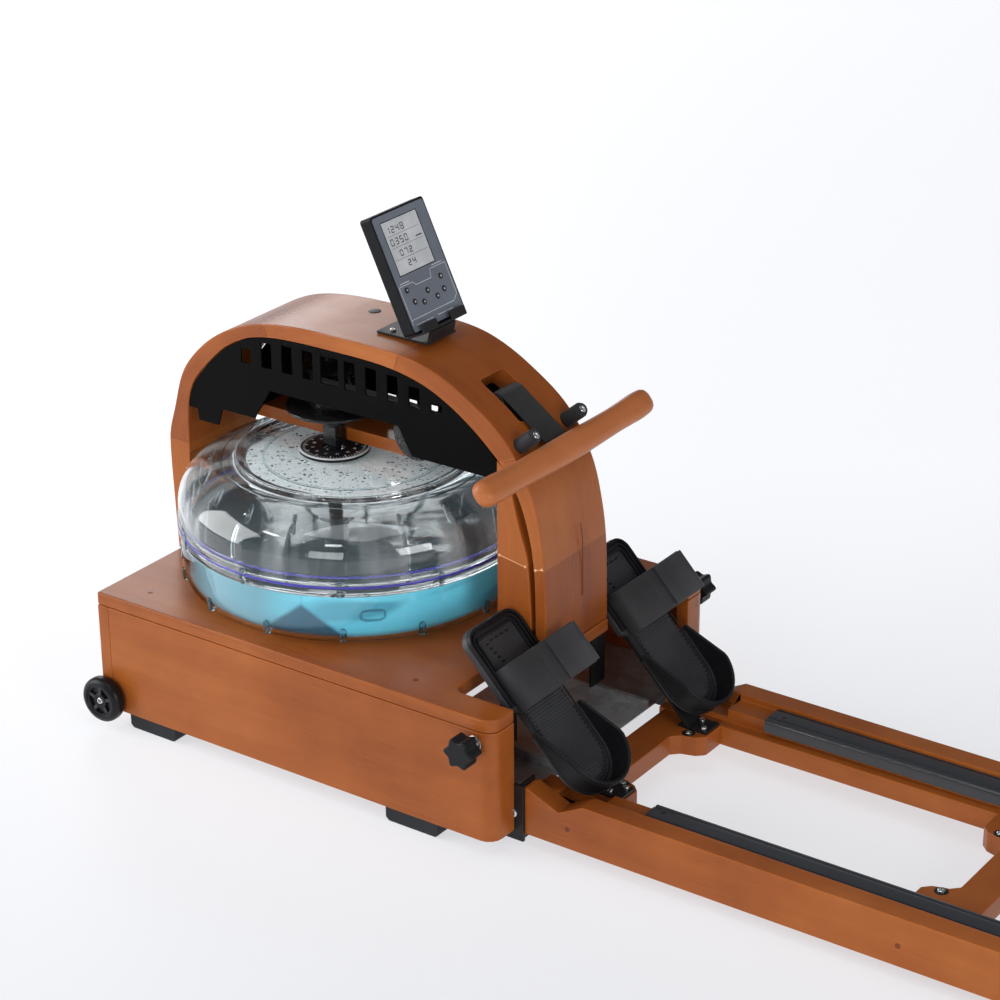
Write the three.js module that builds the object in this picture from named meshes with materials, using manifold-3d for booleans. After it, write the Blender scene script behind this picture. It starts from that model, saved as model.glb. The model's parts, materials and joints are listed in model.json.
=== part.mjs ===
// Water rowing machine: a wooden box carries a round water tank under a wooden
// arch, and a low pair of rails behind it carries the sliding seat.
// Millimetres, +Z up, +X from the tank to the seat, +Y to the rower's right.
// Coordinates are measured from the box's wheel end (x = 0), its middle (y = 0)
// and the floor (z = 0); the outer group moves the origin under the middle.
import * as THREE from 'three';
import * as BufferGeometryUtils from 'three/addons/utils/BufferGeometryUtils.js';
import Module from 'manifold-3d';

const wasm = await Module();
wasm.setup();

// ---- driving dimensions ----
const ORIGIN_X = 1026;                 // middle of the whole length
const GAP = 0.3;                       // left between pieces that touch
const BOX_L = 647, BOX_HALF = 250;     // box length, half width
const BOX_Z0 = 21.7, DECK_Z = 193.2;   // box underside, deck top
const BOARD = 18;                      // thickness of the box's boards
const ARCH_HALF = 71.3;                // half depth of the arch
const TANK_X = 246;                    // tank axis
const SHAFT_OFF = -32;                 // from the tank axis to the paddle shaft
const TANK_R = 237;                    // widest radius, at the seam
const SEAM_Z = 281;                    // height of the seam between the shells
const LID_Z = 372;                     // top of the lid's ring
const HANDLE_X = 584, HANDLE_Z = 454, HANDLE_R = 18.3, HANDLE_HALF = 189.5;
const RAIL_X0 = 656, RAIL_X1 = 2058;   // ends of the rails
const SEAT_X = 1640;                   // middle of the seat at rest
const FOOT_Y = 127;                    // middle of each footplate from the middle plane
const FOOT_TILT = 0.8133;              // 46.6 degrees, footplate slope
const WHEEL_R = 32, KNOB_R = 21;

// ---- materials ----
const paint = (color, roughness, metalness = 0, opacity = 1) =>
  new THREE.MeshStandardMaterial({ color, roughness, metalness, opacity, transparent: opacity < 1 });
const WOOD = () => paint(0x9a4a1e, 0.35);
const WOOD_LIGHT = () => paint(0xb5632c, 0.35);
const BLACK = () => paint(0x141416, 0.5);
const RUBBER = () => paint(0x1b1b1d, 0.85);
const STEEL = () => paint(0x1a1a1c, 0.45, 0.6);
const GREY_STEEL = () => paint(0xb6bcbc, 0.35, 0.7);
const CLEAR = () => paint(0xbfd6dc, 0.08, 0, 0.35);

// ---- geometry helpers ----
// Shared vertices merged and flat triangles dropped, faces turned outward.
const weld = (geometry) => {
  const g = geometry.index ? geometry.toNonIndexed() : geometry.clone();
  for (const key of Object.keys(g.attributes)) if (key !== 'position') g.deleteAttribute(key);
  const m = BufferGeometryUtils.mergeVertices(g, 1e-3);
  const p = m.attributes.position, src = m.index.array, idx = [];
  let volume = 0;
  const a = new THREE.Vector3(), b = new THREE.Vector3(), c = new THREE.Vector3();
  for (let i = 0; i < src.length; i += 3) {
    const [u, v, w] = [src[i], src[i + 1], src[i + 2]];
    if (u === v || v === w || w === u) continue;
    idx.push(u, v, w);
    a.fromBufferAttribute(p, u); b.fromBufferAttribute(p, v); c.fromBufferAttribute(p, w);
    volume += a.dot(b.cross(c));
  }
  if (volume < 0) for (let i = 0; i < idx.length; i += 3) [idx[i + 1], idx[i + 2]] = [idx[i + 2], idx[i + 1]];
  m.setIndex(idx);
  return m;
};
const solid = (g) => {
  const m = weld(g);
  return new wasm.Manifold(new wasm.Mesh({
    numProp: 3,
    vertProperties: new Float32Array(m.attributes.position.array),
    triVerts: new Uint32Array(m.index.array),
  }));
};
const geometryOf = (s) => {
  const m = s.getMesh();
  const g = new THREE.BufferGeometry();
  g.setAttribute('position', new THREE.BufferAttribute(new Float32Array(m.vertProperties), 3));
  g.setIndex(new THREE.BufferAttribute(new Uint32Array(m.triVerts), 1));
  return g;
};
const join = (...gs) => geometryOf(gs.map(solid).reduce((s, t) => s.add(t)));
const cut = (g, ...tools) => geometryOf(tools.map(solid).reduce((s, t) => s.subtract(t), solid(g)));
const clip = (g, tool) => geometryOf(solid(g).intersect(solid(tool)));

const box = (x0, x1, y0, y1, z0, z1) =>
  new THREE.BoxGeometry(x1 - x0, y1 - y0, z1 - z0).translate((x0 + x1) / 2, (y0 + y1) / 2, (z0 + z1) / 2);
const outline = (pts, holes = []) => {
  const s = new THREE.Shape(pts.map(([a, b]) => new THREE.Vector2(a, b)));
  for (const h of holes) s.holes.push(new THREE.Path(h.map(([a, b]) => new THREE.Vector2(a, b))));
  return s;
};
const extrude = (pts, depth, holes) =>
  new THREE.ExtrudeGeometry(outline(pts, holes), { depth, bevelEnabled: false, steps: 1 });
const alongZ = (pts, z0, z1, holes) => extrude(pts, z1 - z0, holes).translate(0, 0, z0);
const alongY = (pts, y0, y1, holes) => extrude(pts, y1 - y0, holes).rotateX(Math.PI / 2).translate(0, y1, 0);
const alongX = (pts, x0, x1, holes) =>
  extrude(pts, x1 - x0, holes).applyMatrix4(new THREE.Matrix4().set(0, 0, 1, 0, 1, 0, 0, 0, 0, 1, 0, 0, 0, 0, 0, 1))
    .translate(x0, 0, 0);
const mirrorY = (pts) => pts.map(([y, z]) => [-y, z]).reverse();
const arc = (cx, cy, r, a0, a1, n) =>
  Array.from({ length: n + 1 }, (_, i) => {
    const t = (a0 + (a1 - a0) * i / n) * Math.PI / 180;
    return [cx + r * Math.cos(t), cy + r * Math.sin(t)];
  });
const roundRect = (x0, x1, y0, y1, r, n = 3) => [
  ...arc(x1 - r, y0 + r, r, -90, 0, n), ...arc(x1 - r, y1 - r, r, 0, 90, n),
  ...arc(x0 + r, y1 - r, r, 90, 180, n), ...arc(x0 + r, y0 + r, r, 180, 270, n)];
const rod = (r, p, q, n = 20, r2 = r) => {
  const a = new THREE.Vector3(...p), b = new THREE.Vector3(...q), d = b.clone().sub(a);
  const g = new THREE.CylinderGeometry(r2, r, d.length(), n);
  g.applyQuaternion(new THREE.Quaternion().setFromUnitVectors(new THREE.Vector3(0, 1, 0), d.clone().normalize()));
  return g.translate(...a.add(b).multiplyScalar(0.5).toArray());
};
// Profile of [radius, height] turned about a vertical axis.
const turned = (pts, n) => new THREE.LatheGeometry(pts.map(([r, z]) => new THREE.Vector2(r, z)), n).rotateX(Math.PI / 2);
const turnedY = (pts, n) => new THREE.LatheGeometry(pts.map(([r, y]) => new THREE.Vector2(r, y)), n);

const machine = new THREE.Group();
machine.position.set(-ORIGIN_X, 0, 0);
const add = (name, geometry, material, parent = machine) => {
  const mesh = new THREE.Mesh(weld(geometry), material);
  mesh.name = name;
  parent.add(mesh);
  return mesh;
};

// ---- wooden box ----
const deckOutline = [
  [0, -BOX_HALF], ...arc(BOX_L - 20, -BOX_HALF + 20, 20, -90, 0, 4), [BOX_L, -204], ...arc(569, -192, 12, 270, 180, 3),
  [557, -71.5], [606, -71.5], [606, 71.5], [557, 71.5], ...arc(569, 192, 12, 180, 90, 3), [BOX_L, 204],
  ...arc(BOX_L - 20, BOX_HALF - 20, 20, 0, 90, 4), [0, BOX_HALF]];
add('deck_board', alongZ(deckOutline, DECK_Z - BOARD, DECK_Z), WOOD());
const SIDE_TOP = DECK_Z - BOARD - GAP;
for (const [side, s] of [['left', -1], ['right', 1]]) {
  const pts = [[BOARD + GAP, -BOX_HALF], ...arc(BOX_L - 20, -BOX_HALF + 20, 20, -90, 0, 4), [BOX_L, -204],
    [BOX_L - BOARD, -204], [BOX_L - BOARD, -BOX_HALF + BOARD], [BOARD + GAP, -BOX_HALF + BOARD]];
  const g = cut(alongZ(s < 0 ? pts : pts.map(([x, y]) => [x, -y]).reverse(), BOX_Z0, SIDE_TOP),
    rod(5.3, [620, s * 200, 159], [620, s * 260, 159], 16),
    rod(5.3, [13, s * 200, 42], [13, s * 260, 42], 16));
  add(`side_board_${side}`, g, WOOD());
}
add('end_board', cut(box(0, BOARD, -BOX_HALF, BOX_HALF, BOX_Z0, SIDE_TOP),
  box(4.5, 19, -251, -224, 33.5, 50.5), box(4.5, 19, 224, 251, 33.5, 50.5)), WOOD());
const ridge = (y) => [[y - 4, 60], [y - 4, 72], [y + 4, 72], [y + 4, 60]];
add('base_tray', join(alongX([[-197.5, 58], [197.5, 58], [197.5, 60], ...ridge(100).reverse(), ...ridge(-100).reverse(),
  [-197.5, 60]], 440, 650), box(440, 598, -231.7, 231.7, 58, 60)), GREY_STEEL());
for (const [name, x0, x1] of [['base_skid_front', 42.8, 124.2], ['base_skid_rear', 475.8, 559.4]])
  add(name, alongY([[x0 + 5, 0], [x1 - 5, 0], [x1, 5], [x1, BOX_Z0 - GAP], [x0, BOX_Z0 - GAP], [x0, 5]],
    -BOX_HALF + 3, BOX_HALF - 3), RUBBER());

// ---- arch ----
const archOuter = [[-10.7, 187], [-13.3, 253], [-16.3, 356], [-4.1, 397], [14.8, 456], [48.5, 497], [82.9, 523],
  [124.4, 543.3], [164.7, 553.5], [216, 559.5], [270, 560], [327, 559.6], [383, 558.8], [419.8, 551], [456, 537],
  [492, 516.6], [527.7, 491.8], [552.5, 466], [571, 432], [584.2, 405], [596.5, 356.7], [601.3, 315.6], [603.7, 244.7],
  [604.5, DECK_Z + GAP]];
const archInner = [[587.5, DECK_Z + GAP], [587, 258], [585.6, 300], [581, 340], [575, 366], [564.5, 398], [541.8, 441],
  [520.3, 458], [488, 485.5], [448.4, 511.4], [412, 527], [367.6, 536.3], [326, 538.3], [269, 538.6], [215, 538.2],
  [163.8, 535.3], [127.3, 525.7], [89.8, 504.4], [59.5, 476], [32.5, 443], [20.6, 419.6], [19.4, 367.7],
  [19.4, DECK_Z + GAP], [-0.3, DECK_Z + GAP], [-0.3, 187]];
const PEG_DIR = [Math.cos(40 * Math.PI / 180), Math.sin(40 * Math.PI / 180)];
const pegAt = (t, y) => [545 + PEG_DIR[0] * t, y, 463 + PEG_DIR[1] * t];
const slotTool = new THREE.BoxGeometry(76, 52, 70).rotateY(0.595).translate(502, 0, 507);
add('arch_hoop', cut(alongY([...archOuter, ...archInner].reverse(), -ARCH_HALF, ARCH_HALF),
  slotTool,
  rod(10.4, pegAt(-20, -52), pegAt(60, -52), 16), rod(10.4, pegAt(-20, 52), pegAt(60, 52), 16),
  rod(TANK_R + 1.6, [TANK_X, 0, 190], [TANK_X, 0, 338], 60)), WOOD_LIGHT());
add('leg_post', alongY([[529, DECK_Z + GAP], [581.4, DECK_Z + GAP], [581, 242], [579.5, 270], [575, 325], [567, 351],
  [557, 386], [553.5, 408], [541, 440], [529, 449.6]].reverse(), -ARCH_HALF, ARCH_HALF), WOOD_LIGHT());

// ---- water tank ----
const tank = new THREE.Group();
tank.position.set(TANK_X, 0, 0);
machine.add(tank);
add('tank_lower', turned([[0, 193.5], [208, 193.5], [226, 200], [233, 216], [234.5, 268],
  [TANK_R, 270], [TANK_R, 279], [226, 279], [226, 276], [230.5, 268], [229, 217], [223, 203],
  [207, 197.5], [0, 197.5]], 40), CLEAR(), tank);
add('tank_gasket', turned([[227, 279.3], [TANK_R + 0.5, 279.3], [TANK_R + 0.5, 282.7], [227, 282.7], [227, 279.3]], 40),
  paint(0x3b3a9c, 0.4), tank);
add('tank_upper', cut(turned([[0, LID_Z - 12], [100, LID_Z - 12], [149, LID_Z - 10], [184, 357], [203, 349.5],
  [218, 338.5], [227, 326], [231.3, 311], [231, 296], [226, 291], [226, 283], [TANK_R, 283], [TANK_R, 291], [235.5, 293],
  [235.5, 312], [231, 328], [221, 342], [205, 353.5], [186, 361], [158, 366], [158, LID_Z - 2], [156, LID_Z],
  [149, LID_Z], [146, LID_Z - 5], [100, LID_Z - 8], [0, LID_Z - 8]], 40),
  rod(14, [SHAFT_OFF, 0, 350], [SHAFT_OFF, 0, 372], 24)), CLEAR(), tank);
// The shaft stands a little toward the wheel end of the tank's middle.
const shaft = new THREE.Group();
shaft.position.set(TANK_X + SHAFT_OFF, 0, 0);
machine.add(shaft);
add('lid_dial', turned([[16, LID_Z - 7.8], [48, LID_Z - 7.8], [48, LID_Z - 3.6], [46, LID_Z - 2.6], [16, LID_Z - 2.6],
  [16, LID_Z - 7.8]], 32), BLACK(), shaft);
// Impeller: six flat paddles on a hub, with the shaft up through the lid.
const paddles = [0, 60, 120, 180, 240, 300].map((deg) =>
  box(14, 180, -2, 2, 206, 256).rotateZ(deg * Math.PI / 180));
add('impeller', join(rod(24, [0, 0, 203], [0, 0, 264], 20), ...paddles), paint(0xd8dde0, 0.4, 0, 1), shaft);
add('drive_shaft', join(rod(9, [0, 0, 264.3], [0, 0, 375], 16), box(-10.5, 10.5, -10.5, 10.5, 374, 400)), BLACK(), shaft);
add('strap_drum', turned([[0, 400.3], [12.5, 400.3], [12.5, 425], [64, 426.5], [64, 430.5], [30, 432], [30, 486],
  [46, 487.5], [46, 490.5], [10, 492], [10, 524], [0, 524]], 28), BLACK(), shaft);
add('top_bearing', cut(join(rod(20, [0, 0, 502], [0, 0, 530], 20), box(-24, 36, -24, 24, 529, 536.6)),
  rod(10.4, [0, 0, 490], [0, 0, 526], 16)), STEEL(), shaft);

// ---- drive parts inside the arch ----
// Guard: a slotted plate at each face of the arch, tied by two rods, with the pulley's pin on the far one.
const underArch = [[519.5, 457.3], [487.5, 484.7], [448, 510.4], [411.8, 526], [367.5, 535.3], [326, 537.3],
  [269, 537.6], [215, 537.2], [164, 534.3], [127.8, 524.8], [90.3, 503.7], [60.2, 475.4], [33.4, 442.6], [21.5, 419.3]];
const nearSlots = [[117, 134, 510], [151.5, 168.5, 525], [186, 203, 528], [220.4, 237.4, 529], [250.5, 279, 529],
  [289.2, 306.2, 529], [323.6, 340.6, 528], [358, 375, 526], [392.4, 409.4, 518], [426.8, 443.8, 503]]
  .map(([x0, x1, z]) => box(x0, x1, -75, -60, 490, z));
const farSlots = [[138.5, 167.5, 435], [251, 268, 431], [285.5, 302.5, 431], [322, 337, 431]]
  .map(([x0, x1, z]) => box(x0, x1, 60, 75, 406, z));
add('slotted_plate', join(
  cut(alongY([[20.5, 352], [36, 354], [50, 373.5], [442, 373.5], [480, 345], [528.5, 345], [528.5, 447], ...underArch,
    [20.5, 367.7]], 66.5, 70.5), ...farSlots),
  cut(alongY([[21.5, 405], [36, 405], [38, 389], [72, 389], [80, 414], [136, 414], [164, 459], [374, 459], [396, 422],
    [528.5, 422], [528.5, 447], ...underArch], -69.8, -66.8), ...nearSlots),
  rod(5, [60, -67, 436], [60, 67, 436], 14), rod(5, [504, -67, 436], [504, 67, 436], 14),
  rod(6, [345, 0, 412], [345, 67, 412], 14), rod(12, [345, 21.4, 412], [345, 26, 412], 14),
  box(340, 370, 62, 67, 394, 430), rod(10, [345, -1.2, 412], [345, 2.7, 412], 14)), STEEL());
add('bridge_board', alongY([[66, 373.8], [330, 373.8], [312, 392.2], [80, 392.2]], 16, 66.2), WOOD());
add('return_pulley', turnedY([[6.3, -9], [34, -9], [34, -6.5], [27, -4], [27, 4], [34, 6.5], [34, 9], [6.3, 9],
  [6.3, -9]], 28).translate(345, 12, 412), BLACK());
add('guide_roller', turnedY([[0, -25], [5, -25], [5, -23.5], [11, -23.5], [11, 23.5], [5, 23.5], [5, 25], [0, 25]], 20)
  .translate(496, 0, 503), BLACK());

// Strap: lies on the roller, comes out over the slot's lower lip to the handle,
// and turns a quarter to reach the drum. Each station is a flat rectangle.
const strapRun = [
  // centre of the webbing, its width direction, and half width
  [[214, -32.4, 459], [0, 0, 1], 21], [[280, -28, 459.3], [0, -0.26, 0.966], 21], [[330, -19, 460], [0, -0.5, 0.866], 21.5],
  [[370, -12, 461], [0, -0.77, 0.64], 22], [[405, -5, 461.6], [0, -0.94, 0.34], 22], [[425, 0, 465.6], [0, -1, 0], 22.5],
  [[488.4, 0, 513.3], [0, -1, 0], 22.5], [[496, 0, 515.8], [0, -1, 0], 22.5], [[503.3, 0, 513.5], [0, -1, 0], 22.5],
  [[569.9, 0, 466.3], [0, -1, 0], 22.5]];
const strapGeometry = () => {
  const pos = [], idx = [], half = 0.8;
  // Stations between the given ones, closer where the band twists.
  const run = [];
  strapRun.forEach(([c, w, hw], i) => {
    if (i > 0) {
      const [c0, w0, hw0] = strapRun[i - 1], n = i < 6 ? 5 : 1;
      const d0 = new THREE.Vector3(...w0).normalize(), d1 = new THREE.Vector3(...w).normalize();
      for (let k = 1; k < n; k++) {
        const t = k / n;
        run.push([c0.map((v, j) => v + (c[j] - v) * t), d0.clone().lerp(d1, t).toArray(), hw0 + (hw - hw0) * t]);
      }
    }
    run.push([c, w, hw]);
  });
  run.forEach(([c, w, hw], i) => {
    const p = new THREE.Vector3(...c), wd = new THREE.Vector3(...w).normalize();
    const a = new THREE.Vector3(...run[Math.max(0, i - 1)][0]);
    const b = new THREE.Vector3(...run[Math.min(run.length - 1, i + 1)][0]);
    const t = b.sub(a).normalize(), n = new THREE.Vector3().crossVectors(t, wd).normalize();
    for (const [u, v] of [[-1, -1], [1, -1], [1, 1], [-1, 1]])
      pos.push(...p.clone().addScaledVector(wd, u * hw).addScaledVector(n, v * half).toArray());
  });
  const n = run.length;
  for (let i = 0; i < n - 1; i++) for (let k = 0; k < 4; k++) {
    const a = 4 * i + k, b = 4 * i + (k + 1) % 4, c = a + 4, d = b + 4;
    // The two broad faces fold along the same diagonal, so the band keeps its thickness.
    if (k === 2) idx.push(a, b, c, b, d, c);
    else idx.push(a, b, d, a, d, c);
  }
  idx.push(0, 2, 1, 0, 3, 2, 4 * n - 4, 4 * n - 3, 4 * n - 2, 4 * n - 4, 4 * n - 2, 4 * n - 1);
  const g = new THREE.BufferGeometry();
  g.setAttribute('position', new THREE.Float32BufferAttribute(pos, 3));
  g.setIndex(idx);
  return g;
};
add('pull_strap', strapGeometry(), paint(0x17171a, 0.9));

// ---- handle and its pegs ----
add('handle_bar', turnedY([[0, -HANDLE_HALF], [8, -HANDLE_HALF + 1.2], [14, -HANDLE_HALF + 5], [17.6, -HANDLE_HALF + 12],
  [HANDLE_R, -HANDLE_HALF + 19], [17.2, -140], [16.6, -110], [17.6, -60], [HANDLE_R, -30], [HANDLE_R, 30], [17.6, 60],
  [16.6, 110], [17.2, 140], [HANDLE_R, HANDLE_HALF - 19], [17.6, HANDLE_HALF - 12], [14, HANDLE_HALF - 5],
  [8, HANDLE_HALF - 1.2], [0, HANDLE_HALF]], 18).translate(HANDLE_X, 0, HANDLE_Z), WOOD_LIGHT());
for (const [side, y] of [['left', -52], ['right', 52]])
  add(`peg_${side}`, join(rod(10, pegAt(-16, y), pegAt(38, y), 16), rod(8, pegAt(37.5, y), pegAt(41, y), 16)), RUBBER());

// ---- console on its stand ----
const cradlePiece = (...g) => g.map((q) => q.rotateY(-25.5 * Math.PI / 180).translate(393, 0, 582));
add('console_stand', join(
  alongY([[313, 560.4], [395, 560.4], [395, 563.4], [313, 563.4]], -30, 30),
  alongY([[391.5, 560.4], [395, 560.4], [395, 563.4], [398.5, 577.3], [394.5, 580.2], [391, 566]], -26, 26),
  ...cradlePiece(box(-21, 8, -46, 46, -3.6, -0.4), box(-21.5, -18.3, -46, 46, -3.6, 60),
    box(5.4, 8.4, -46, -14, -3.6, 9), box(5.4, 8.4, 14, 46, -3.6, 9))), STEEL());
const consoleGroup = new THREE.Group();
consoleGroup.position.set(393, 0, 582);
consoleGroup.rotation.y = -25.5 * Math.PI / 180;   // face leans back from upright
machine.add(consoleGroup);
// Local frame: +X out of the face, +Y across, +Z up the face.
const CON_W = 55.5, CON_H = 157;
const keyPlaces = [[-38.2, 55.2], [-31.5, 38], [-14.5, 33], [-0.8, 44.5], [13.7, 32.5], [30.2, 37.5], [32.7, 54]];
add('console_body', cut(alongX(roundRect(-CON_W, CON_W, 0, CON_H, 4), -18, 0),
  box(-2.6, 1, -40.3, 33.3, 74.2, 144.8),
  ...keyPlaces.map(([y, z]) => rod(4.4, [-5, y, z], [1, y, z], 12))), BLACK(), consoleGroup);
add('lcd_window', box(-2.3, -0.2, -40, 33, 74.5, 144.5), paint(0x9aa39c, 0.25), consoleGroup);
keyPlaces.forEach(([y, z], i) => add(`key_${i + 1}`, rod(4.1, [-3.6, y, z], [1, y, z], 12), RUBBER(), consoleGroup));

// ---- footplates ----
for (const [side, s] of [['left', -1], ['right', 1]]) {
  const foot = new THREE.Group();
  foot.position.set(550, s * FOOT_Y, 257);
  foot.rotation.y = FOOT_TILT;
  machine.add(foot);
  // Local frame: +X down the slope to the heel, +Z out of the plate.
  const plate = alongZ([...arc(22, -32.5, 22, 270, 180, 3), ...arc(22, 32.5, 22, 180, 90, 3), [112, 54.5], [118, 40],
    [200, 40], [200, -40], [118, -40], [112, -54.5]].reverse(), -10, 0);
  const rim = (y) => box(20, 110, y - 3.6, y + 3.6, -1, 8);
  add(`toe_plate_${side}`, join(plate, rim(-50.9), rim(50.9)), BLACK(), foot);
  const cupOut = [[150, -53], [209, -53], ...arc(209, 0, 53, -78, 78, 12), [209, 53], [150, 53]];
  const cupIn = [[140, -49], [209, -49], ...arc(209, 0, 49, -78, 78, 12), [209, 49], [140, 49]];
  const sole = join(alongZ(cupOut, GAP, 4.3), alongZ([[96, -36], [102, -40], [152, -40], [152, 40], [102, 40], [96, 36]], GAP, 4.3));
  const walls = cut(alongZ(cupOut, 3.3, 44), alongZ(cupIn, 2, 46),
    alongY([[140, 10], [150, 10], [212, 45], [140, 45]].reverse(), -60, 60));
  add(`heel_cup_${side}`, join(sole, walls), BLACK(), foot);
  // Strap band: both ends go into the plate, the top layer's free end stands off to +Y.
  const band = (pts, t) => {
    const up = pts.map(([y, z]) => [y, z]);
    const offs = pts.map(([y, z], i) => {
      const [ay, az] = pts[Math.max(0, i - 1)], [by, bz] = pts[Math.min(pts.length - 1, i + 1)];
      const l = Math.hypot(by - ay, bz - az);
      return [y - (bz - az) / l * t, z + (by - ay) / l * t];
    });
    return [...up, ...offs.reverse()];
  };
  const lower = band([[43, 0.3], [43.5, 10], [39, 21], [28, 26], [10, 28]].reverse(), 2.4);
  const upper = band([[-43.8, 0.3], [-43.8, 10], [-40, 21], [-28, 26.5], [10, 30.2], [44, 34], [66, 40], [78, 46]], 2.6);
  add(`foot_strap_${side}`, join(alongX(lower, 62, 122), alongX(upper, 62, 122)), paint(0x1a1a1d, 0.95), foot);
  const [y0, y1] = s < 0 ? [-119.4, -87] : [87, 119.4];
  add(`foot_bracket_${side}`, join(
    box(26, 262, y0 - s * FOOT_Y, y1 - s * FOOT_Y, -14.3, -10.3).rotateY(FOOT_TILT).translate(550, s * FOOT_Y, 257),
    box(706, 750, y0, y1, 56.3, 60.3), box(566, 570, y0, y1, 72.3, 220)), STEEL());
}

// ---- rails ----
const railSection = [[-198, 17], [-168, 17], [-168, 28], [-120, 28], [-120, 56], [-136, 56], [-136, 74], [-168, 74],
  [-168, 83], [-198, 83]];
const trackSection = [[-166, 74.3], [-135.7, 74.3], [-135.7, 62], [-129, 62], [-129, 80], [-166, 80]];
for (const [side, s] of [['left', -1], ['right', 1]]) {
  const flip = (pts) => (s < 0 ? pts : mirrorY(pts));
  const notch = alongY([[655, 86], [655, 84.5], [662, 83], [708, 64], [744, 83], [746, 86]].reverse(), -210, 210);
  const relief = s < 0 ? box(688, 752, -168.1, -119, 62, 90) : box(688, 752, 119, 168.1, 62, 90);
  add(`rail_${side}`, cut(alongX(flip(railSection), RAIL_X0, RAIL_X1), notch, relief), WOOD());
  add(`track_${side}`, alongX(flip(trackSection), 812, 2040), BLACK());
  const lshape = [[600, -203.6], [634, -203.6], [634, -203.4], [659.5, -203.4], [659.5, -198.4], [655.7, -198.4], [655.7, -170],
    [651.5, -170], [651.5, -198.4], [600, -198.4]];
  add(`joint_plate_${side}`, alongZ(s < 0 ? lshape : lshape.map(([x, y]) => [x, -y]).reverse(), 8, 87), STEEL());
}
const horned = [[665, -119.7], [752, -119.7], [752, -84], [742, -74], [722, -68], [712, -58], [712, 58], [722, 68],
  [742, 74], [752, 84], [752, 119.7], [665, 119.7]];
add('cross_front', alongZ(horned, 28, 56), WOOD());
add('cross_mid', alongZ(horned.map(([x, y]) => [1902 - x, y]).reverse(), 28, 56), WOOD());
add('rear_stand', join(box(2012, 2071, -214, 214, 0, 16.7), box(2058.3, 2071, -214, 214, 16, 80),
  box(2012, 2071, -214, -198.3, 16, 80), box(2012, 2071, 198.3, 214, 16, 80)), RUBBER());

// ---- seat on four rollers ----
const seat = new THREE.Group();
seat.position.set(SEAT_X, 0, 0);
machine.add(seat);
add('seat_carriage', join(box(-105, 105, -120, 120, 112, 122), box(-90, 90, -95, 95, 121, 150),
  ...[-80, 80].flatMap((x) => [-1, 1].map((s) =>
    cut(box(x - 12, x + 12, s * 117 - 3, s * 117 + 3, 90, 122), rod(4.4, [x, s * 110, 100.3], [x, s * 124, 100.3], 16))))), STEEL(), seat);
for (const [name, x] of [['front', -80], ['rear', 80]])
  add(`seat_wheels_${name}`, turnedY([[0, -156], [4, -156], [4, -152], [20, -151], [20, -133], [4, -132], [4, 132], [20, 133],
    [20, 151], [4, 152], [4, 156], [0, 156]], 24).translate(x, 0, 100.3), RUBBER(), seat);
const seatTop = [[-128, 150.3], [128, 150.3], [140, 160], [148, 178], [144, 196], [128, 206], [96, 208], [60, 200],
  [24, 192], [0, 190], [-24, 192], [-60, 200], [-96, 208], [-128, 206], [-144, 196], [-148, 178], [-140, 160]];
add('seat_pad', clip(alongX(seatTop, -125, 125), alongZ(roundRect(-118, 118, -148, 148, 46, 5), 140, 220)),
  paint(0x1c1c1e, 0.7), seat);

// ---- wheels and knobs on the sides ----
for (const [side, s] of [['left', -1], ['right', 1]]) {
  add(`wheel_${side}`, turnedY([[0, -11], [24, -11], [29.5, -9], [WHEEL_R, -5], [WHEEL_R, 5], [29.5, 9], [24, 11],
    [4.6, 11], [4.6, 37], [0, 37]].map(([r, y]) => [r, -s * y]), 28).translate(13, s * 264, 42), BLACK());
  const lobes = Array.from({ length: 36 }, (_, i) => {
    const a = i * Math.PI / 18, r = KNOB_R - 2.6 + 2.6 * Math.cos(6 * a);
    return [620 + r * Math.cos(a), 159 + r * Math.sin(a)];
  });
  const head = s < 0 ? [-288, -263] : [263, 288];
  add(`knob_${side}`, join(alongY(lobes, ...head), rod(5, [620, s * 236, 159], [620, s * 264, 159], 14)), BLACK());
}

export default machine;
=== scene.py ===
import bpy
import bmesh
import json
import math
import random
from mathutils import Matrix, Vector, noise

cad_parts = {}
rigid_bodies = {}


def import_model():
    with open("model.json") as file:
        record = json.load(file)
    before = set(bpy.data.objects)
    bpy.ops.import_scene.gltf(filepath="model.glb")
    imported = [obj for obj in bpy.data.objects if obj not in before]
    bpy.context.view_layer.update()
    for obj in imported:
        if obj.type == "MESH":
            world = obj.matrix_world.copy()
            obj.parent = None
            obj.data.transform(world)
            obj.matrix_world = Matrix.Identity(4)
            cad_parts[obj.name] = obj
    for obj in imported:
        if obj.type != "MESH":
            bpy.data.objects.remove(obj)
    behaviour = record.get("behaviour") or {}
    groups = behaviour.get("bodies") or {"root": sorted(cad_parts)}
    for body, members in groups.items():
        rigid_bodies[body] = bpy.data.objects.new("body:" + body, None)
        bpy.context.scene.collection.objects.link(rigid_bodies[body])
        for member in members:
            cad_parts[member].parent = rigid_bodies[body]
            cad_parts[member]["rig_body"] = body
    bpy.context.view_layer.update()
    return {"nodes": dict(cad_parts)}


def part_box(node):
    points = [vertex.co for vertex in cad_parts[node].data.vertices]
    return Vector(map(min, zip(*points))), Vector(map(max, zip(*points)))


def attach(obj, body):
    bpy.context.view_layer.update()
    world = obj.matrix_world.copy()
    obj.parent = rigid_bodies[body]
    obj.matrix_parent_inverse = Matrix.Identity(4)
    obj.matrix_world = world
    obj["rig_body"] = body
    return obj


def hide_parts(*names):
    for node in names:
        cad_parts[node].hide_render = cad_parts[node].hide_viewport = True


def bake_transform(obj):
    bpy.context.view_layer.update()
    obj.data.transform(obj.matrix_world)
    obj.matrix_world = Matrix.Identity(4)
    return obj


for old in list(bpy.data.objects):
    bpy.data.objects.remove(old, do_unlink=True)
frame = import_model()
NODES = frame["nodes"]
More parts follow.
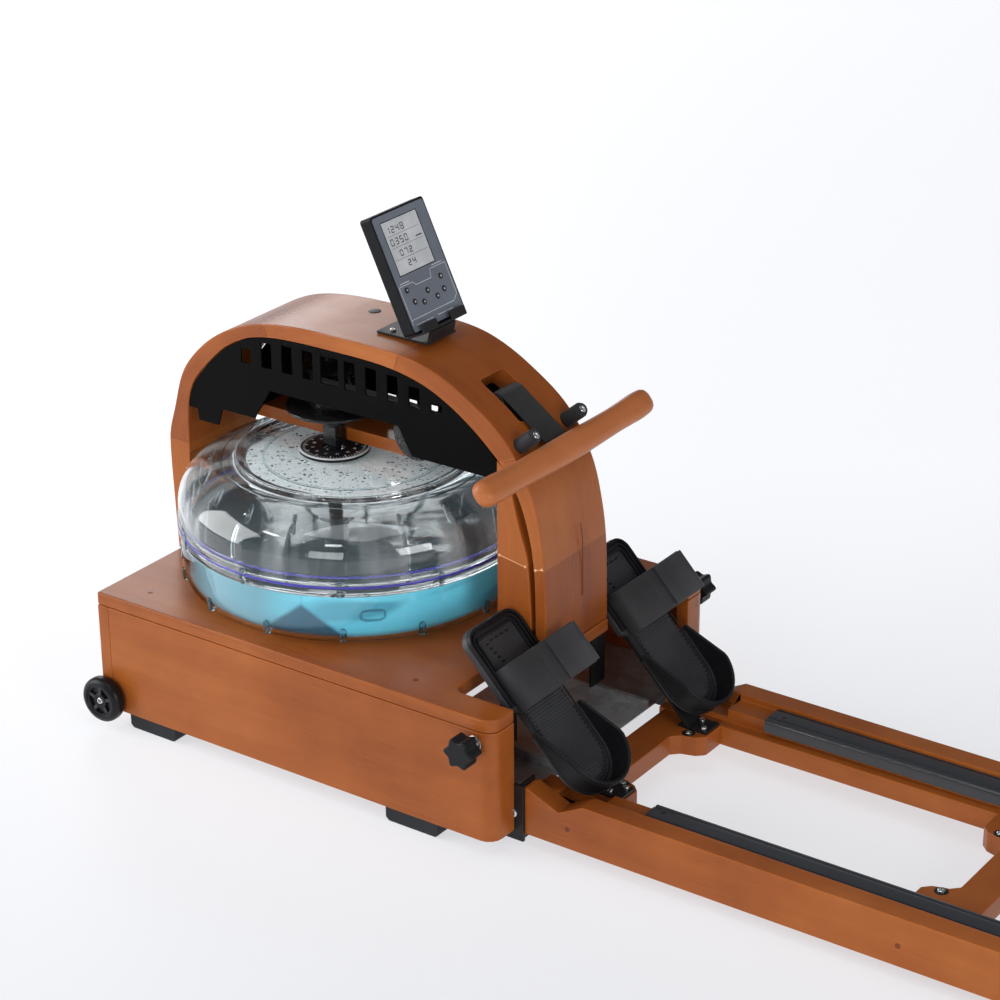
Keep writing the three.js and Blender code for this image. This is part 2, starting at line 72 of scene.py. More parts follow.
sin, cos, pi, rad = math.sin, math.cos, math.pi, math.radians
MM = 0.001


def V(x, y, z):
    """A place measured in mm from the box's wheel end, the middle plane and the floor."""
    return Vector(((x - 1026) * MM, y * MM, z * MM))


# Local frames of the console and of the two footplates, in mm.
def frame_at(x, y, z, turn):
    return Matrix.Translation(V(x, y, z)) @ Matrix.Rotation(turn, 4, "Y")


CONSOLE = frame_at(393, 0, 582, rad(-25.5))
FOOT = {"left": frame_at(550, -127, 257, 0.8133), "right": frame_at(550, 127, 257, 0.8133)}
SIDES = (("left", -1), ("right", 1))

# ------------------------------------------------------------------ materials


def new_mat(name, **sockets):
    m = bpy.data.materials.new(name)
    m.use_nodes = True
    nt = m.node_tree
    nt.nodes.clear()
    out = nt.nodes.new("ShaderNodeOutputMaterial")
    p = nt.nodes.new("ShaderNodeBsdfPrincipled")
    nt.links.new(p.outputs[0], out.inputs[0])
    for k, v in sockets.items():
        p.inputs[k.replace("_", " ")].default_value = v
    return m, nt, p, out


def N(nt, kind, ins=None, **props):
    n = nt.nodes.new("ShaderNode" + kind)
    for k, v in props.items():
        setattr(n, k, v)
    for k, v in (ins or {}).items():
        s = n.inputs[k]
        if isinstance(v, bpy.types.NodeSocket):
            nt.links.new(v, s)
        else:
            s.default_value = v
    return n


def math_node(nt, op, a, b=0.0, c=None, clamp=False):
    n = N(nt, "Math", {0: a, 1: b}, operation=op, use_clamp=clamp)
    if c is not None:
        if isinstance(c, bpy.types.NodeSocket):
            nt.links.new(c, n.inputs[2])
        else:
            n.inputs[2].default_value = c
    return n.outputs[0]


def ramp(nt, fac, stops, interp="LINEAR"):
    n = N(nt, "ValToRGB", {0: fac})
    cr = n.color_ramp
    cr.interpolation = interp
    cr.elements.remove(cr.elements[1])
    cr.elements[0].position = stops[0][0]
    cr.elements[0].color = (*stops[0][1], 1)
    for pos, col in stops[1:]:
        cr.elements.new(pos).color = (*col, 1)
    return n.outputs[0]


def mix(nt, fac, a, b, how="MIX"):
    n = N(nt, "Mix", {0: fac}, data_type="RGBA", blend_type=how)
    for i, v in ((6, a), (7, b)):
        if isinstance(v, bpy.types.NodeSocket):
            nt.links.new(v, n.inputs[i])
        else:
            n.inputs[i].default_value = (*v, 1)
    return n.outputs[2]


def span(nt, v, a, b, c, d):
    return N(nt, "MapRange", {0: v, 1: a, 2: b, 3: c, 4: d}).outputs[0]


def tex_noise(nt, vec, scale, detail=3.0, rough=0.5, distort=0.0):
    return N(nt, "TexNoise", {"Vector": vec, "Scale": scale, "Detail": detail, "Roughness": rough,
                              "Distortion": distort}).outputs["Fac"]


def object_xyz(nt):
    co = N(nt, "TexCoord").outputs["Object"]
    s = N(nt, "SeparateXYZ", {0: co})
    return co, s.outputs[0], s.outputs[1], s.outputs[2]


def combine(nt, x, y, z):
    return N(nt, "CombineXYZ", {0: x, 1: y, 2: z}).outputs[0]


def scaled(nt, v, k):
    return math_node(nt, "MULTIPLY", v, k)


def edge_mask(nt, radius, samples=4, gain=6.0):
    """About 1 on an edge and 0 on a flat."""
    b = N(nt, "Bevel", {"Radius": radius}, samples=samples).outputs[0]
    g = N(nt, "NewGeometry").outputs["Normal"]
    d = N(nt, "VectorMath", {0: b, 1: g}, operation="DOT_PRODUCT").outputs["Value"]
    return math_node(nt, "MULTIPLY", math_node(nt, "SUBTRACT", 1.0, d), gain, clamp=True)


def wood(name, grain, dark=(0.196, 0.0455, 0.0080), mid=(0.297, 0.0780, 0.0130), light=(0.382, 0.1140, 0.0230),
         rough=0.31, coat=0.07, shine=0.25):
    """Stained board under satin lacquer; grain is the axis the fibres run along."""
    m, nt, p, _ = new_mat(name)
    co, x, y, z = object_xyz(nt)
    if grain == "arch":
        # Fibres follow the hoop: one coordinate grows outward from its middle, one runs across its depth.
        dx = math_node(nt, "ADD", x, 0.730)
        dz = math_node(nt, "MULTIPLY", math_node(nt, "MAXIMUM", math_node(nt, "SUBTRACT", z, 0.330), 0.0), 1.3)
        r = math_node(nt, "SQRT", math_node(nt, "ADD", math_node(nt, "MULTIPLY", dx, dx),
                                            math_node(nt, "MULTIPLY", dz, dz)))
        along, a, b = math_node(nt, "ADD", x, z), r, y
    else:
        along, a, b = {"X": (x, y, z), "Y": (y, x, z), "Z": (z, x, y)}[grain]
    sway = span(nt, tex_noise(nt, co, 4.0, 2.0), 0.0, 1.0, -0.010, 0.010)
    a2, b2 = math_node(nt, "ADD", a, sway), math_node(nt, "ADD", b, sway)
    broad = tex_noise(nt, combine(nt, scaled(nt, along, 2.2), scaled(nt, a2, 30.0), scaled(nt, b2, 30.0)), 1.0, 6.0, 0.6)
    fine = tex_noise(nt, combine(nt, scaled(nt, along, 14.0), scaled(nt, a2, 420.0), scaled(nt, b2, 420.0)), 1.0, 4.0, 0.55)
    pores = span(nt, tex_noise(nt, combine(nt, scaled(nt, along, 45.0), scaled(nt, a2, 900.0), scaled(nt, b2, 900.0)),
                               1.0, 1.0), 0.62, 0.74, 0.0, 1.0)
    cloud = tex_noise(nt, co, 5.0, 4.0, 0.6)
    tone = math_node(nt, "ADD", math_node(nt, "MULTIPLY", broad, 0.34),
                     math_node(nt, "ADD", math_node(nt, "MULTIPLY", fine, 0.12), math_node(nt, "MULTIPLY", cloud, 0.54)))
    if grain == "arch":
        # Each glued segment of the hoop is cut from another board, so its tone steps at the joints.
        turn = math_node(nt, "ARCTAN2", math_node(nt, "SUBTRACT", z, 0.330), dx)
        seg = ramp(nt, span(nt, turn, -pi, pi, 0.0, 1.0),
                   [(0.0, (0.62,) * 3), (0.25, (0.34,) * 3), (0.4919, (0.66,) * 3), (0.5722, (0.36,) * 3), (0.6944, (0.64,) * 3),
                    (0.8389, (0.38,) * 3), (0.9881, (0.62,) * 3)], "CONSTANT")
        tone = math_node(nt, "ADD", tone, math_node(nt, "MULTIPLY", math_node(nt, "SUBTRACT", seg, 0.5), 0.52))
    col = ramp(nt, tone, [(0.30, dark), (0.50, mid), (0.70, light)])
    col = mix(nt, math_node(nt, "MULTIPLY", pores, 0.11), col, tuple(c * 0.45 for c in dark))
    # Edges painted lighter: partly rubbed wear, partly a painted highlight where the rounded edges catch the light.
    col = mix(nt, math_node(nt, "MULTIPLY", edge_mask(nt, 0.0022), 0.50), col, tuple(min(1, c * 1.5) for c in light))
    nt.links.new(col, p.inputs["Base Color"])
    nt.links.new(span(nt, math_node(nt, "ADD", fine, cloud), 0.7, 1.3, rough - 0.05, rough + 0.09), p.inputs["Roughness"])
    h = math_node(nt, "SUBTRACT", math_node(nt, "MULTIPLY", fine, 0.35), pores)
    nt.links.new(N(nt, "Bump", {"Strength": 0.16, "Distance": 0.00025, "Height": h}).outputs[0], p.inputs["Normal"])
    p.inputs["Coat Weight"].default_value = coat
    p.inputs["Coat Roughness"].default_value = 0.16
    p.inputs["IOR"].default_value = 1.48
    p.inputs["Specular IOR Level"].default_value = shine
    return m


def moulded(name, col, rough, grain=900.0, bump=0.10, vary=0.35, coat=0.0, sheen=0.0, wear=0.0, metallic=0.0, spec=0.35, patchy=1.0):
    """Moulded plastic, rubber or powder coat: fine grain, patchy gloss, and lighter rubbed edges."""
    m, nt, p, _ = new_mat(name)
    co = N(nt, "TexCoord").outputs["Object"]
    g = tex_noise(nt, co, grain, 2.0, 0.6)
    patch = tex_noise(nt, co, 22.0, 5.0, 0.65)
    lo, hi = tuple(c * (1 - vary) for c in col), tuple(min(1, c * (1 + vary)) for c in col)
    c = ramp(nt, math_node(nt, "ADD", math_node(nt, "MULTIPLY", g, 0.3), math_node(nt, "MULTIPLY", patch, 0.7)),
             [(0.32, lo), (0.68, hi)])
    if wear:
        c = mix(nt, math_node(nt, "MULTIPLY", edge_mask(nt, 0.0012), wear), c, tuple(min(1, v * 2.6 + 0.03) for v in col))
    nt.links.new(c, p.inputs["Base Color"])
    nt.links.new(span(nt, math_node(nt, "ADD", g, patch), 0.7, 1.3, max(0.04, rough - 0.07 * patchy), min(1, rough + 0.08 * patchy)),
                 p.inputs["Roughness"])
    nt.links.new(N(nt, "Bump", {"Strength": bump, "Distance": 0.0003, "Height": g}).outputs[0], p.inputs["Normal"])
    p.inputs["Coat Weight"].default_value = coat
    p.inputs["Coat Roughness"].default_value = 0.12
    p.inputs["Sheen Weight"].default_value = sheen
    p.inputs["Metallic"].default_value = metallic
    p.inputs["Specular IOR Level"].default_value = spec
    return m


def metal(name, col, rough, spangle=0.0, brushed=0.0, metallic=1.0):
    m, nt, p, _ = new_mat(name, Metallic=metallic)
    co, x, y, z = object_xyz(nt)
    n = tex_noise(nt, co, 60.0, 5.0, 0.6)
    if spangle:
        v = N(nt, "TexVoronoi", {"Vector": co, "Scale": 90.0})
        cell = N(nt, "SeparateColor", {0: v.outputs["Color"]}).outputs[0]
        n = math_node(nt, "ADD", math_node(nt, "MULTIPLY", n, 0.5), math_node(nt, "MULTIPLY", cell, 0.5))
    nt.links.new(ramp(nt, n, [(0.25, tuple(c * 0.72 for c in col)), (0.8, col)]), p.inputs["Base Color"])
    nt.links.new(span(nt, n, 0.2, 0.8, rough, rough + 0.14), p.inputs["Roughness"])
    h = tex_noise(nt, combine(nt, scaled(nt, x, 60.0), scaled(nt, y, 900.0), scaled(nt, z, 900.0)), 1.0, 2.0) if brushed else n
    nt.links.new(N(nt, "Bump", {"Strength": 0.08, "Distance": 0.0002, "Height": h}).outputs[0], p.inputs["Normal"])
    return m


def clear(name, tint, rough=0.02, wave=0.05, smear=0.0, see=1.0, painted_glare=0.0):
    """Clear moulded plastic that lets light through, with faint waves and smears, and with painted glare in upright
    streaks.
    """
    m, nt, p, out = new_mat(name, IOR=1.47)
    co = N(nt, "TexCoord").outputs["Object"]
    n = tex_noise(nt, co, 9.0, 3.0, 0.5)
    smudge = span(nt, tex_noise(nt, co, 26.0, 6.0, 0.7), 0.5, 0.75, 0.0, smear)
    nt.links.new(ramp(nt, n, [(0.2, tuple(c * 0.97 for c in tint)), (0.8, tint)]), p.inputs["Base Color"])
    nt.links.new(math_node(nt, "ADD", smudge, rough), p.inputs["Roughness"])
    nt.links.new(N(nt, "Bump", {"Strength": wave, "Distance": 0.002, "Height": n}).outputs[0], p.inputs["Normal"])
    p.inputs["Transmission Weight"].default_value = see
    if painted_glare:
        # Painted reflections: upright streaks let less light through and turn paler, standing for the studio's
        # reflections on the shell.
        xyz = N(nt, "SeparateXYZ", {0: co})
        turn = math_node(nt, "ARCTAN2", xyz.outputs[1], math_node(nt, "ADD", xyz.outputs[0], 0.780))
        glare_streak = tex_noise(nt, combine(nt, scaled(nt, turn, 5.2), scaled(nt, xyz.outputs[2], 3.0), 0.37), 1.0, 2.0, 0.5)
        nt.links.new(span(nt, glare_streak, 0.47, 0.60, see, see - painted_glare), p.inputs["Transmission Weight"])
    lets = N(nt, "BsdfTransparent", {0: (*tuple(0.42 + 0.52 * c for c in tint), 1)})
    lp = N(nt, "LightPath")
    mx = N(nt, "MixShader", {0: lp.outputs["Is Shadow Ray"], 1: p.outputs[0], 2: lets.outputs[0]})
    nt.links.new(mx.outputs[0], out.inputs[0])
    return m


def webbing(name, col, pitch=0.0016, rough=0.72):
    """Woven band; u runs along it and v across it, both in metres."""
    m, nt, p, _ = new_mat(name)
    uv = N(nt, "SeparateXYZ", {0: N(nt, "TexCoord").outputs["UV"]})
    u, v = uv.outputs[0], uv.outputs[1]
    k = 2 * pi / pitch
    a = math_node(nt, "SINE", math_node(nt, "MULTIPLY", math_node(nt, "ADD", u, v), k))
    b = math_node(nt, "SINE", math_node(nt, "MULTIPLY", math_node(nt, "SUBTRACT", u, math_node(nt, "MULTIPLY", v, 0.5)), k))
    h = math_node(nt, "MULTIPLY", math_node(nt, "ADD", a, b), 0.25)
    h = math_node(nt, "ADD", h, 0.5)
    co = N(nt, "TexCoord").outputs["Object"]
    worn = tex_noise(nt, co, 35.0, 4.0, 0.6)
    c = ramp(nt, math_node(nt, "ADD", math_node(nt, "MULTIPLY", h, 0.5), math_node(nt, "MULTIPLY", worn, 0.5)),
             [(0.25, tuple(t * 0.55 for t in col)), (0.75, tuple(t * 1.5 for t in col))])
    nt.links.new(c, p.inputs["Base Color"])
    nt.links.new(span(nt, worn, 0.3, 0.7, rough - 0.1, rough + 0.1), p.inputs["Roughness"])
    nt.links.new(N(nt, "Bump", {"Strength": 0.35, "Distance": 0.0004, "Height": h}).outputs[0], p.inputs["Normal"])
    p.inputs["Sheen Weight"].default_value = 0.12
    return m


def hatched(name, col, rough, pitch=0.0042, x_to=1.0, half=1.0):
    """Moulded plastic with a fine crosshatch on its treads, faded out beyond half from the local middle line."""
    m, nt, p, _ = new_mat(name)
    co, x, y, z = object_xyz(nt)
    k = 2 * pi / pitch
    a = math_node(nt, "SINE", math_node(nt, "MULTIPLY", x, k))
    b = math_node(nt, "SINE", math_node(nt, "MULTIPLY", y, k))
    grid = math_node(nt, "MAXIMUM", a, b)
    inside = math_node(nt, "MULTIPLY", math_node(nt, "LESS_THAN", math_node(nt, "ABSOLUTE", y), half),
                       math_node(nt, "LESS_THAN", x, x_to))
    grid = math_node(nt, "MULTIPLY", grid, inside)
    g = tex_noise(nt, co, 1100.0, 2.0, 0.6)
    patch = tex_noise(nt, co, 25.0, 5.0, 0.65)
    c = ramp(nt, math_node(nt, "ADD", math_node(nt, "MULTIPLY", g, 0.3), math_node(nt, "MULTIPLY", patch, 0.7)),
             [(0.3, tuple(v * 0.65 for v in col)), (0.7, tuple(v * 1.35 for v in col))])
    # The crosshatch's grooves are painted darker, as painted shade in them.
    c = mix(nt, span(nt, grid, 0.2, 0.9, 0.0, 0.55), c, tuple(v * 0.25 for v in col))
    nt.links.new(c, p.inputs["Base Color"])
    nt.links.new(span(nt, patch, 0.3, 0.7, rough - 0.06, rough + 0.08), p.inputs["Roughness"])
    h = math_node(nt, "SUBTRACT", math_node(nt, "MULTIPLY", g, 0.25), math_node(nt, "MULTIPLY", grid, 0.8))
    nt.links.new(N(nt, "Bump", {"Strength": 0.6, "Distance": 0.0006, "Height": h}).outputs[0], p.inputs["Normal"])
    return m


def leather(name, col, rough):
    m, nt, p, _ = new_mat(name)
    co = N(nt, "TexCoord").outputs["Object"]
    cells = N(nt, "TexVoronoi", {"Vector": co, "Scale": 620.0, "Randomness": 1.0}, feature="DISTANCE_TO_EDGE").outputs[0]
    crease = span(nt, cells, 0.0, 0.28, 0.0, 1.0)
    soft = tex_noise(nt, co, 30.0, 5.0, 0.6)
    # The creases between the grain's cells are painted darker, as painted shade.
    c = mix(nt, crease, tuple(v * 0.5 for v in col), ramp(nt, soft, [(0.3, tuple(v * 0.8 for v in col)), (0.7, tuple(v * 1.4 for v in col))]))
    nt.links.new(c, p.inputs["Base Color"])
    nt.links.new(span(nt, soft, 0.3, 0.7, rough - 0.08, rough + 0.1), p.inputs["Roughness"])
    h = math_node(nt, "ADD", crease, math_node(nt, "MULTIPLY", soft, 0.5))
    nt.links.new(N(nt, "Bump", {"Strength": 0.35, "Distance": 0.0004, "Height": h}).outputs[0], p.inputs["Normal"])
    return m


W_X = wood("stained_board_lengthwise", "X")
W_Y = wood("stained_board_crosswise", "Y")
W_ARCH = wood("stained_hoop", "arch", dark=(0.200, 0.0460, 0.0080), mid=(0.298, 0.0780, 0.0130), light=(0.388, 0.1160, 0.0240))
# The handle is the hoop's wood with its stain painted lighter: painted light on the handle.
W_HANDLE_PAINTED_LIGHT = wood("stained_handle_painted_lighter", "Y", dark=(0.32, 0.090, 0.027), mid=(0.41, 0.130, 0.041), light=(0.49, 0.170, 0.060), rough=0.36)
W_SEAM = wood("glue_line", "X", dark=(0.10, 0.02, 0.006), mid=(0.14, 0.03, 0.008), light=(0.18, 0.042, 0.012))
FILLER = wood("pale_filler", "X", dark=(0.55, 0.26, 0.12), mid=(0.66, 0.34, 0.17), light=(0.75, 0.42, 0.22), rough=0.5, coat=0.0)
PLASTIC = moulded("moulded_black", (0.0085, 0.0088, 0.0102), 0.44, 900, 0.10, wear=0.25, spec=0.20)
CASE = moulded("console_case_black", (0.0050, 0.0052, 0.0062), 0.44, 900, 0.08, wear=0.3, spec=0.16)
PLASTIC_SMOOTH = moulded("smooth_black", (0.009, 0.0092, 0.0105), 0.24, 500, 0.03, coat=0.2, spec=0.30)
GLOSS = moulded("glossy_black", (0.008, 0.0085, 0.010), 0.12, 300, 0.015, coat=0.6)
TYRE = moulded("wheel_tyre_black", (0.0065, 0.0067, 0.0076), 0.34, 700, 0.05, coat=0.03, spec=0.20)
RUBBER = moulded("black_rubber", (0.017, 0.0175, 0.020), 0.62, 700, 0.16, sheen=0.06, spec=0.28)
SKID = moulded("skid_rubber", (0.016, 0.0175, 0.021), 0.55, 500, 0.14, wear=0.2, spec=0.24)
COAT = moulded("powder_coat_black", (0.0105, 0.0105, 0.011), 0.42, 650, 0.16, wear=0.3, spec=0.28)
PLATE = moulded("plate_black", (0.0016, 0.0016, 0.0018), 0.62, 650, 0.14, wear=0.05, spec=0.06)
TRACK = moulded("track_black", (0.0200, 0.0215, 0.0260), 0.30, 1200, 0.02, vary=0.10, coat=0.35, spec=0.60, patchy=0.25)
# The face's grey is partly its own printed grey and partly a painted sheen, which makes it paler than the case.
FACE_GREY_AND_SHEEN = moulded("console_face_grey_and_sheen", (0.128, 0.146, 0.176), 0.40, 1200, 0.06, vary=0.14, spec=0.45)
GASKET = moulded("gasket_purple", (0.055, 0.050, 0.36), 0.28, 400, 0.03, vary=0.25, coat=0.4)
PADDLE = moulded("paddle_grey", (0.030, 0.036, 0.040), 0.40, 400, 0.05, vary=0.2)
WHITE_INK = moulded("pale_ink", (0.70, 0.71, 0.72), 0.5, 900, 0.05, vary=0.12)
DARK_INK = moulded("dark_ink", (0.03, 0.032, 0.033), 0.5, 900, 0.05, vary=0.3)
# Flat black for painted shade, laid where slots are not cut.
SLOT_SHADE_BLACK = moulded("painted_slot_shade", (0.002, 0.002, 0.002), 0.8, 600, 0.1)
THREAD = moulded("stitch_thread", (0.05, 0.05, 0.054), 0.7, 3000, 0.4, sheen=0.3)
STEEL = metal("bright_steel", (0.78, 0.78, 0.77), 0.18)
ZINC = metal("galvanised_sheet", (0.50, 0.53, 0.55), 0.34, spangle=1.0, metallic=0.6)
CLEAR = clear("clear_shell", (0.93, 0.97, 0.98), 0.020, 0.03, smear=0.09)
CLEAR_TOP = clear("clear_cover", (0.93, 0.97, 0.98), 0.022, 0.03, smear=0.08, see=0.995, painted_glare=0.085)
CLEAR_PART = clear("clear_clip", (0.80, 0.86, 0.88), 0.06, 0.04)
# A darker copy of the shell's clear plastic: painted shade, so the ribs and seam clips read as dark lines.
CLEAR_RIB_SHADED = clear("clear_rib_shaded", (0.50, 0.58, 0.61), 0.05, 0.04)
DROPS = clear("condensation", (0.97, 0.99, 1.0), 0.02, 0.0)
MIST = clear("lid_mist", (0.95, 0.955, 0.96), 0.40, 0.12, smear=0.25, see=0.43)
STRAP = webbing("pull_webbing", (0.0055, 0.0056, 0.0066), 0.0017)
BAND = webbing("foot_band", (0.0135, 0.0132, 0.0150), 0.0011, rough=0.58)
TREAD = hatched("tread_black", (0.033, 0.0335, 0.038), 0.46, half=0.038)
KNURL = moulded("knurl_black", (0.050, 0.052, 0.058), 0.5, 900, 0.1, wear=0.4)
BAND_END = webbing("foot_band_end", (0.021, 0.021, 0.024), 0.0011, rough=0.5)
LEATHER = leather("seat_leather", (0.020, 0.020, 0.022), 0.48)


def make_water():
    m, nt, p, out = new_mat("tank_water", IOR=1.33)
    co = N(nt, "TexCoord").outputs["Object"]
    z = N(nt, "SeparateXYZ", {0: co}).outputs[2]
    n = tex_noise(nt, co, 7.0, 4.0, 0.55)
    t = math_node(nt, "ADD", math_node(nt, "MULTIPLY", span(nt, z, 0.198, 0.265, 0.0, 1.0), 0.75), math_node(nt, "MULTIPLY", n, 0.25))
    side = ramp(nt, t, [(0.0, (0.105, 0.56, 0.75)), (0.5, (0.175, 0.72, 0.92)), (1.0, (0.215, 0.79, 0.97))])
    # Painted shade: darker patches for the far wall and the floor of the bowl seen through it.
    seen_through_shade = N(nt, "TexNoise", {"Vector": combine(nt, N(nt, "SeparateXYZ", {0: co}).outputs[0], N(nt, "SeparateXYZ", {0: co}).outputs[1],
                                                scaled(nt, z, 4.0)), "Scale": 4.6, "Detail": 1.5, "Roughness": 0.4, "Distortion": 0.6}).outputs["Fac"]
    side = mix(nt, span(nt, seen_through_shade, 0.455, 0.56, 0.0, 0.72), side, (0.055, 0.310, 0.430))
    # Paler and greyer round the outer end, and one painted dark wedge of shade where the floor of the bowl rises.
    turn = math_node(nt, "ARCTAN2", N(nt, "SeparateXYZ", {0: co}).outputs[1], math_node(nt, "ADD", N(nt, "SeparateXYZ", {0: co}).outputs[0], 0.780))
    outer = math_node(nt, "COSINE", math_node(nt, "ADD", turn, 1.95))
    side = mix(nt, span(nt, outer, 0.72, 0.90, 0.0, 0.85), side, (0.15, 0.33, 0.40))
    wedge_shade = math_node(nt, "ADD", math_node(nt, "MULTIPLY", math_node(nt, "ABSOLUTE", math_node(nt, "ADD", turn, 1.22)), 1 / 0.26),
                      span(nt, z, 0.208, 0.254, 0.0, 1.0))
    side = mix(nt, span(nt, wedge_shade, 0.88, 1.04, 0.95, 0.0), side, (0.015, 0.090, 0.150))
    # Its upward-facing top is painted dark grey, a painted reflection for the dark mirror the water shows from above;
    # its colour shows through the wall.
    level = N(nt, "SeparateXYZ", {0: N(nt, "NewGeometry").outputs["Normal"]}).outputs[2]
    top = ramp(nt, n, [(0.3, (0.030, 0.045, 0.052)), (0.7, (0.060, 0.085, 0.095))])
    nt.links.new(mix(nt, span(nt, level, 0.80, 0.95, 0.0, 1.0), side, top), p.inputs["Base Color"])
    nt.links.new(span(nt, n, 0.3, 0.7, 0.03, 0.09), p.inputs["Roughness"])
    nt.links.new(N(nt, "Bump", {"Strength": 0.12, "Distance": 0.003, "Height": n}).outputs[0], p.inputs["Normal"])
    p.inputs["Transmission Weight"].default_value = 0.30
    lets = N(nt, "BsdfTransparent", {0: (0.13, 0.13, 0.12, 1)})
    lp = N(nt, "LightPath")
    mx = N(nt, "MixShader", {0: lp.outputs["Is Shadow Ray"], 1: p.outputs[0], 2: lets.outputs[0]})
    nt.links.new(mx.outputs[0], out.inputs[0])
    return m


WATER = make_water()


def make_lcd():
    m, nt, p, _ = new_mat("display_grey")
    co, x, y, z = object_xyz(nt)
    n = tex_noise(nt, co, 30.0, 5.0, 0.65)
    rows = math_node(nt, "SINE", math_node(nt, "MULTIPLY", z, 2 * pi / 0.0007))
    t = math_node(nt, "ADD", math_node(nt, "MULTIPLY", n, 0.9), math_node(nt, "MULTIPLY", rows, 0.02))
    nt.links.new(ramp(nt, t, [(0.25, (0.42, 0.435, 0.445)), (0.7, (0.59, 0.605, 0.62))]), p.inputs["Base Color"])
    nt.links.new(span(nt, n, 0.35, 0.7, 0.12, 0.26), p.inputs["Roughness"])
    nt.links.new(N(nt, "Bump", {"Strength": 0.02, "Distance": 0.0002, "Height": n}).outputs[0], p.inputs["Normal"])
    p.inputs["Coat Weight"].default_value = 0.8
    p.inputs["Coat Roughness"].default_value = 0.04
    return m


LCD = make_lcd()

# ------------------------------------------------------------------ mesh code
# A shape is (vertices, faces), in mm.


def prism(poly, h0, h1, axis="z"):
    place = {"z": lambda a, b, h: (a, b, h), "y": lambda a, b, h: (a, h, b), "x": lambda a, b, h: (h, a, b)}[axis]
    n = len(poly)
    v = [place(a, b, h0) for a, b in poly] + [place(a, b, h1) for a, b in poly]
    f = [tuple(range(n)), tuple(range(2 * n - 1, n - 1, -1))]
    f += [(i, (i + 1) % n, n + (i + 1) % n, n + i) for i in range(n)]
    return v, f


def block(x0, x1, y0, y1, z0, z1):
    return prism([(x0, y0), (x1, y0), (x1, y1), (x0, y1)], z0, z1)


def lathe(profile, n=48, axis="z", loop=False):
    """Profile of (radius, height) turned about an axis; a radius may be a function of the angle."""
    v, f, rings = [], [], []
    put = {"z": lambda a, b, h: (a, b, h), "y": lambda a, b, h: (b, h, a), "x": lambda a, b, h: (h, a, b)}[axis]
    for r, h in profile:
        if not callable(r) and abs(r) < 1e-9:
            rings.append([len(v)])
            v.append(put(0, 0, h))
        else:
            rings.append(list(range(len(v), len(v) + n)))
            for i in range(n):
                t = 2 * pi * i / n
                q = r(t) if callable(r) else r
                v.append(put(q * cos(t), q * sin(t), h))
    pairs = list(zip(rings, rings[1:])) + ([(rings[-1], rings[0])] if loop else [])
    for a, b in pairs:
        if len(a) == 1 and len(b) == 1:
            continue
        for i in range(n):
            j = (i + 1) % n
            if len(a) == 1:
                f.append((a[0], b[i], b[j]))
            elif len(b) == 1:
                f.append((a[i], b[0], a[j]))
            else:
                f.append((a[i], b[i], b[j], a[j]))
    return v, f


def moved(s, x=0.0, y=0.0, z=0.0):
    return [(a + x, b + y, c + z) for a, b, c in s[0]], s[1]


def turned(s, angle, x=0.0, y=0.0):
    """Turned about a vertical line through (x, y)."""
    c, d = cos(angle), sin(angle)
    return [(x + (a - x) * c - (b - y) * d, y + (a - x) * d + (b - y) * c, h) for a, b, h in s[0]], s[1]


def aimed(s, p, d, roll=0.0):
    """The shape's +Z put along d, from p."""
    q = Vector((0, 0, 1)).rotation_difference(Vector(d).normalized()).to_matrix() @ Matrix.Rotation(roll, 3, "Z")
    return [tuple(q @ Vector(v) + Vector(p)) for v in s[0]], s[1]


def together(*shapes):
    v, f = [], []
    for a, b in shapes:
        k = len(v)
        v += list(a)
        f += [tuple(i + k for i in g) for g in b]
    return v, f


def tube(path, r, n=12, closed=False):
    """A round bar along a path."""
    pts = [Vector(p) for p in path]
    m = len(pts)
    v, f = [], []
    up = Vector((0, 0, 1))
    last = None
    for i, p in enumerate(pts):
        a = pts[(i - 1) % m] if closed or i > 0 else p
        b = pts[(i + 1) % m] if closed or i < m - 1 else p
        t = (b - a).normalized()
        if last is None:
            s = t.cross(up if abs(t.dot(up)) < 0.95 else Vector((1, 0, 0))).normalized()
        else:
            s = (last - t * last.dot(t)).normalized()
        last = s
        w = t.cross(s)
        rr = r(i / (m - 1)) if callable(r) else r
        v += [tuple(p + (s * cos(2 * pi * k / n) + w * sin(2 * pi * k / n)) * rr) for k in range(n)]
    for i in range(m if closed else m - 1):
        for k in range(n):
            a, b = i * n + k, i * n + (k + 1) % n
            c, d = ((i + 1) % m) * n + (k + 1) % n, ((i + 1) % m) * n + k
            f.append((a, b, c, d))
    if not closed:
        f += [tuple(range(n - 1, -1, -1)), tuple((m - 1) * n + k for k in range(n))]
    return v, f


